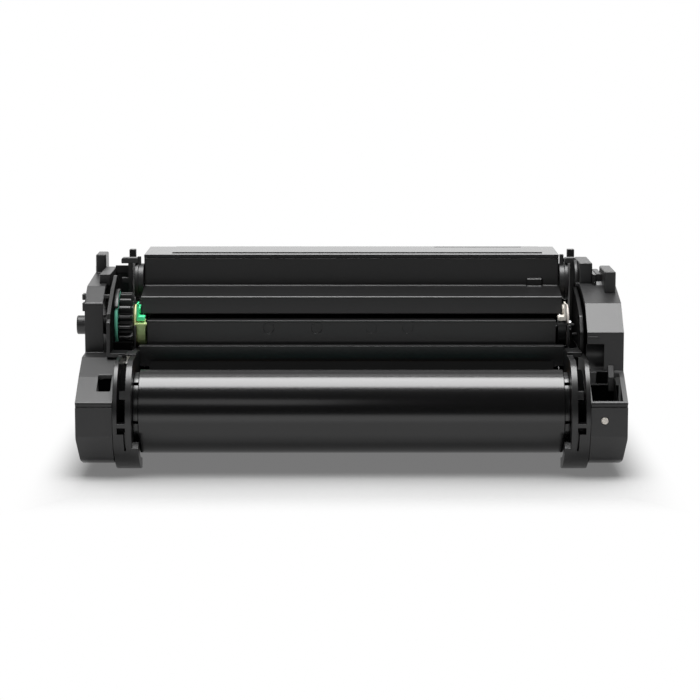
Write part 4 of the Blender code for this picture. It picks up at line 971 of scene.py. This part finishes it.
@dataclass
class Studio:
    """White sweep, three softboxes and the camera of the photograph.

    A span is the range over which one thing turns into another: of Y, of X either way for fade_side, and of
    the direction's Y for world_span. Gloss is the brightness that reflections find.
    """

    floor_front: float = -3.2
    floor_back: float = 1.4
    bend_radius: float = 0.8
    wall_top: float = 1.9
    half_width: float = 3.5
    camera_distance: float = 1.4
    camera_height: float = 0.28
    camera_pitch_deg: float = 8.3163
    focal_pixels: float = 2459.16
    frame_pixels: int = 700
    centre_pixel: float = 351.5
    floor_shade: float = 0.46
    # The floor gives off this share of white even under the cartridge: painted bounce light in its shadow.
    painted_bounce_share: float = 0.18
    # Reach and samples of the ambient occlusion that paints a shadow on the floor for the camera.
    painted_shadow_reach: float = 0.12
    painted_shadow_samples: int = 8
    floor_front_gloss: float = 0.12
    floor_near_gloss: float = 1.45
    backdrop_gloss: float = 1.5
    gloss_ahead: Corner = (-0.95, -0.33)
    gloss_behind: Corner = (0.3, 1.5)
    fade_side: Corner = (0.152, 0.188)
    fade_front: Corner = (-0.20, -0.25)
    fade_back: Corner = (0.08, 0.16)
    wall_span: Corner = (0.6, 1.2)
    world_span: Corner = (-0.2, 0.4)
    world_gloss: Corner = (0.06, 0.5)
    softboxes: tuple[Softbox, ...] = (
        Softbox("key", (0.0, -0.135, 1.2), (1.0, 0.69), 13.5),
        Softbox("strip", (0.0, 0.45, 1.2), (1.0, 0.12), 1.8),
        Softbox("fill", (-0.5, -1.5, 0.9), (1.0, 0.4), 1.2),
    )

    def build(self) -> None:
        """Make the whole studio."""
        self.add_sweep()
        for softbox in self.softboxes:
            softbox.build()
        self.add_world()
        self.add_camera()
        bpy.context.scene.view_settings.view_transform = "Standard"

    def add_sweep(self) -> None:
        """Floor and backdrop in one: a straight line, a quarter circle and another line carried along X."""
        bend = np.linspace(0.0, math.pi / 2, 24)
        back = self.floor_back + self.bend_radius
        curve = np.stack([self.floor_back + self.bend_radius * np.sin(bend),
                          self.bend_radius * (1.0 - np.cos(bend))], axis=1)
        line = np.concatenate([[[self.floor_front, 0.0]], curve, [[back, self.wall_top]]])
        points = np.empty((len(line), 2, 3))
        points[:, :, 0] = np.array([-self.half_width, self.half_width])
        points[:, :, 1:] = line[:, None]
        sweep = grid_piece("studio_sweep", points)
        sweep.data.materials.append(self.sweep_material())

    def sweep_material(self) -> Material:
        """White that keeps the cartridge's shadow nearby, deepened by a painted shadow for the camera, and is
        plain white further away.
        """
        material = bpy.data.materials.new("studio_white")
        material.use_nodes = True
        tree = material.node_tree
        tree.nodes.clear()
        split = self.split_place(tree, "Object")
        paths = add_node(tree, "LightPath")
        diffuse = add_node(tree, "BsdfDiffuse", Color=self.painted_shadow_colour(tree, paths))
        plain = add_node(tree, "Emission", Strength=self.plain_strength(tree, split, paths))
        mix = add_node(tree, "MixShader", Fac=self.plain_share(tree, split, paths))
        tree.links.new(diffuse.outputs["BSDF"], mix.inputs[1])
        tree.links.new(plain.outputs["Emission"], mix.inputs[2])
        add_node(tree, "OutputMaterial", Surface=mix.outputs["Shader"])
        return material

    @staticmethod
    def split_place(tree: NodeTree, kind: str) -> Node:
        """Node that gives X, Y and Z of one kind of texture coordinate."""
        place = add_node(tree, "TexCoord")
        return add_node(tree, "SeparateXYZ", Vector=place.outputs[kind])

    def painted_shadow_colour(self, tree: NodeTree, paths: Node) -> NodeSocket:
        """Floor colour with a painted shadow: for the camera, times the squared share of open sky above it
        that ambient occlusion finds.
        """
        shelter = add_node(tree, "AmbientOcclusion", Distance=self.painted_shadow_reach)
        shelter.samples = self.painted_shadow_samples
        squared = self.joined(tree, "MULTIPLY", shelter.outputs["AO"], shelter.outputs["AO"])
        other_ray = self.ramp(tree, paths.outputs["Is Camera Ray"], (0.0, 1.0), (1.0, 0.0))
        share = self.joined(tree, "MAXIMUM", squared, other_ray)
        return self.ramp(tree, share, (0.0, 1.0), (0.0, self.floor_shade), smooth=False)

    @staticmethod
    def ramp(tree: NodeTree, value: NodeSocket, span: Corner,
             reach: Corner = (0.0, 1.0), smooth: bool = True) -> NodeSocket:
        """Step of a value from one end of a span to the other.

        Args:
            tree: The material's nodes.
            value: The value that is read.
            span: Where the step starts and ends.
            reach: What it gives at the start and at the end.
            smooth: Whether it eases in and out; otherwise it is a straight line.

        Returns:
            The step's result.
        """
        (low, high), (start, end) = span, reach
        step = add_node(tree, "MapRange", Value=value, From_Min=low, From_Max=high, To_Min=start, To_Max=end)
        step.interpolation_type = "SMOOTHSTEP" if smooth else "LINEAR"
        return step.outputs["Result"]

    @staticmethod
    def joined(tree: NodeTree, operation: str, *values: NodeSocket) -> NodeSocket:
        """Result of one arithmetic step on one or two values."""
        step = add_node(tree, "Math")
        step.operation = operation
        for index, value in enumerate(values):
            tree.links.new(value, step.inputs[index])
        return step.outputs["Value"]

    def plain_strength(self, tree: NodeTree, split: Node, paths: Node) -> NodeSocket:
        """Strength of the plain white: 1 to the camera; to other rays dim far in front, bright elsewhere."""
        added = self.backdrop_gloss - self.floor_near_gloss
        behind = self.ramp(tree, split.outputs["Y"], self.gloss_behind, (0.0, added))
        ahead = self.ramp(tree, split.outputs["Y"], self.gloss_ahead,
                          (self.floor_front_gloss, self.floor_near_gloss))
        gloss = self.joined(tree, "ADD", ahead, behind)
        clear = add_node(tree, "Mix")
        clear.data_type = "FLOAT"
        tree.links.new(paths.outputs["Is Camera Ray"], clear.inputs[0])
        tree.links.new(gloss, clear.inputs[2])
        clear.inputs[3].default_value = 1.0
        return clear.outputs[0]

    def plain_share(self, tree: NodeTree, split: Node, paths: Node) -> NodeSocket:
        """Share of plain white in the floor: a little under the cartridge, a painted glow that lifts its
        shadow, and all of it a hand's width away.

        The camera and reflections find it all over, other rays only from wall_span on, behind the cartridge.
        """
        side = self.ramp(tree, self.joined(tree, "ABSOLUTE", split.outputs["X"]), self.fade_side)
        ahead = self.ramp(tree, split.outputs["Y"], self.fade_front)
        behind = self.ramp(tree, split.outputs["Y"], self.fade_back)
        away = self.joined(tree, "MAXIMUM", self.joined(tree, "MAXIMUM", side, ahead), behind)
        near = self.ramp(tree, away, (0.0, 1.0), (self.painted_bounce_share, 1.0), smooth=False)
        seen = self.joined(tree, "MAXIMUM", paths.outputs["Is Camera Ray"], paths.outputs["Is Glossy Ray"])
        wall = self.ramp(tree, split.outputs["Y"], self.wall_span)
        return self.joined(tree, "MULTIPLY", near, self.joined(tree, "MAXIMUM", seen, wall))

    def add_world(self) -> None:
        """White to the camera; to every other ray dim in front and half as bright behind."""
        world = bpy.data.worlds.new("studio")
        world.use_nodes = True
        bpy.context.scene.world = world
        tree = world.node_tree
        back = tree.nodes["Background"]
        split = self.split_place(tree, "Generated")
        gloss = self.ramp(tree, split.outputs["Y"], self.world_span, self.world_gloss)
        paths = add_node(tree, "LightPath")
        seen = self.joined(tree, "MAXIMUM", paths.outputs["Is Camera Ray"], gloss)
        tree.links.new(seen, back.inputs["Strength"])
        back.inputs["Color"].default_value = (1.0, 1.0, 1.0, 1.0)

    def add_camera(self) -> None:
        """Camera of the photograph, in front of the drum cover and a little above the cartridge."""
        lens = bpy.data.cameras.new("camera")
        lens.lens = self.focal_pixels / self.frame_pixels * lens.sensor_width
        lens.shift_x = (self.frame_pixels / 2 - self.centre_pixel) / self.frame_pixels
        camera = bpy.data.objects.new("camera", lens)
        camera.location = (0.0, front(0.0) - self.camera_distance, self.camera_height)
        camera.rotation_euler = (math.radians(90.0 - self.camera_pitch_deg), 0.0, 0.0)
        bpy.context.scene.collection.objects.link(camera)
        bpy.context.scene.camera = camera


def main() -> None:
    """Build the finished cartridge and its studio."""
    logging.basicConfig(level=logging.INFO, format="%(message)s")
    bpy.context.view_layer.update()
    catalogue = Catalogue(frame)
    for group in (DrumCover(), AugerDrive(), FillPlugs(), ShaftClips(), EndFittings(), SlotShadeBands()):
        group.build(catalogue)
    DressedNodes().build(catalogue)
    Studio().build()


if __name__ == "__main__":
    main()
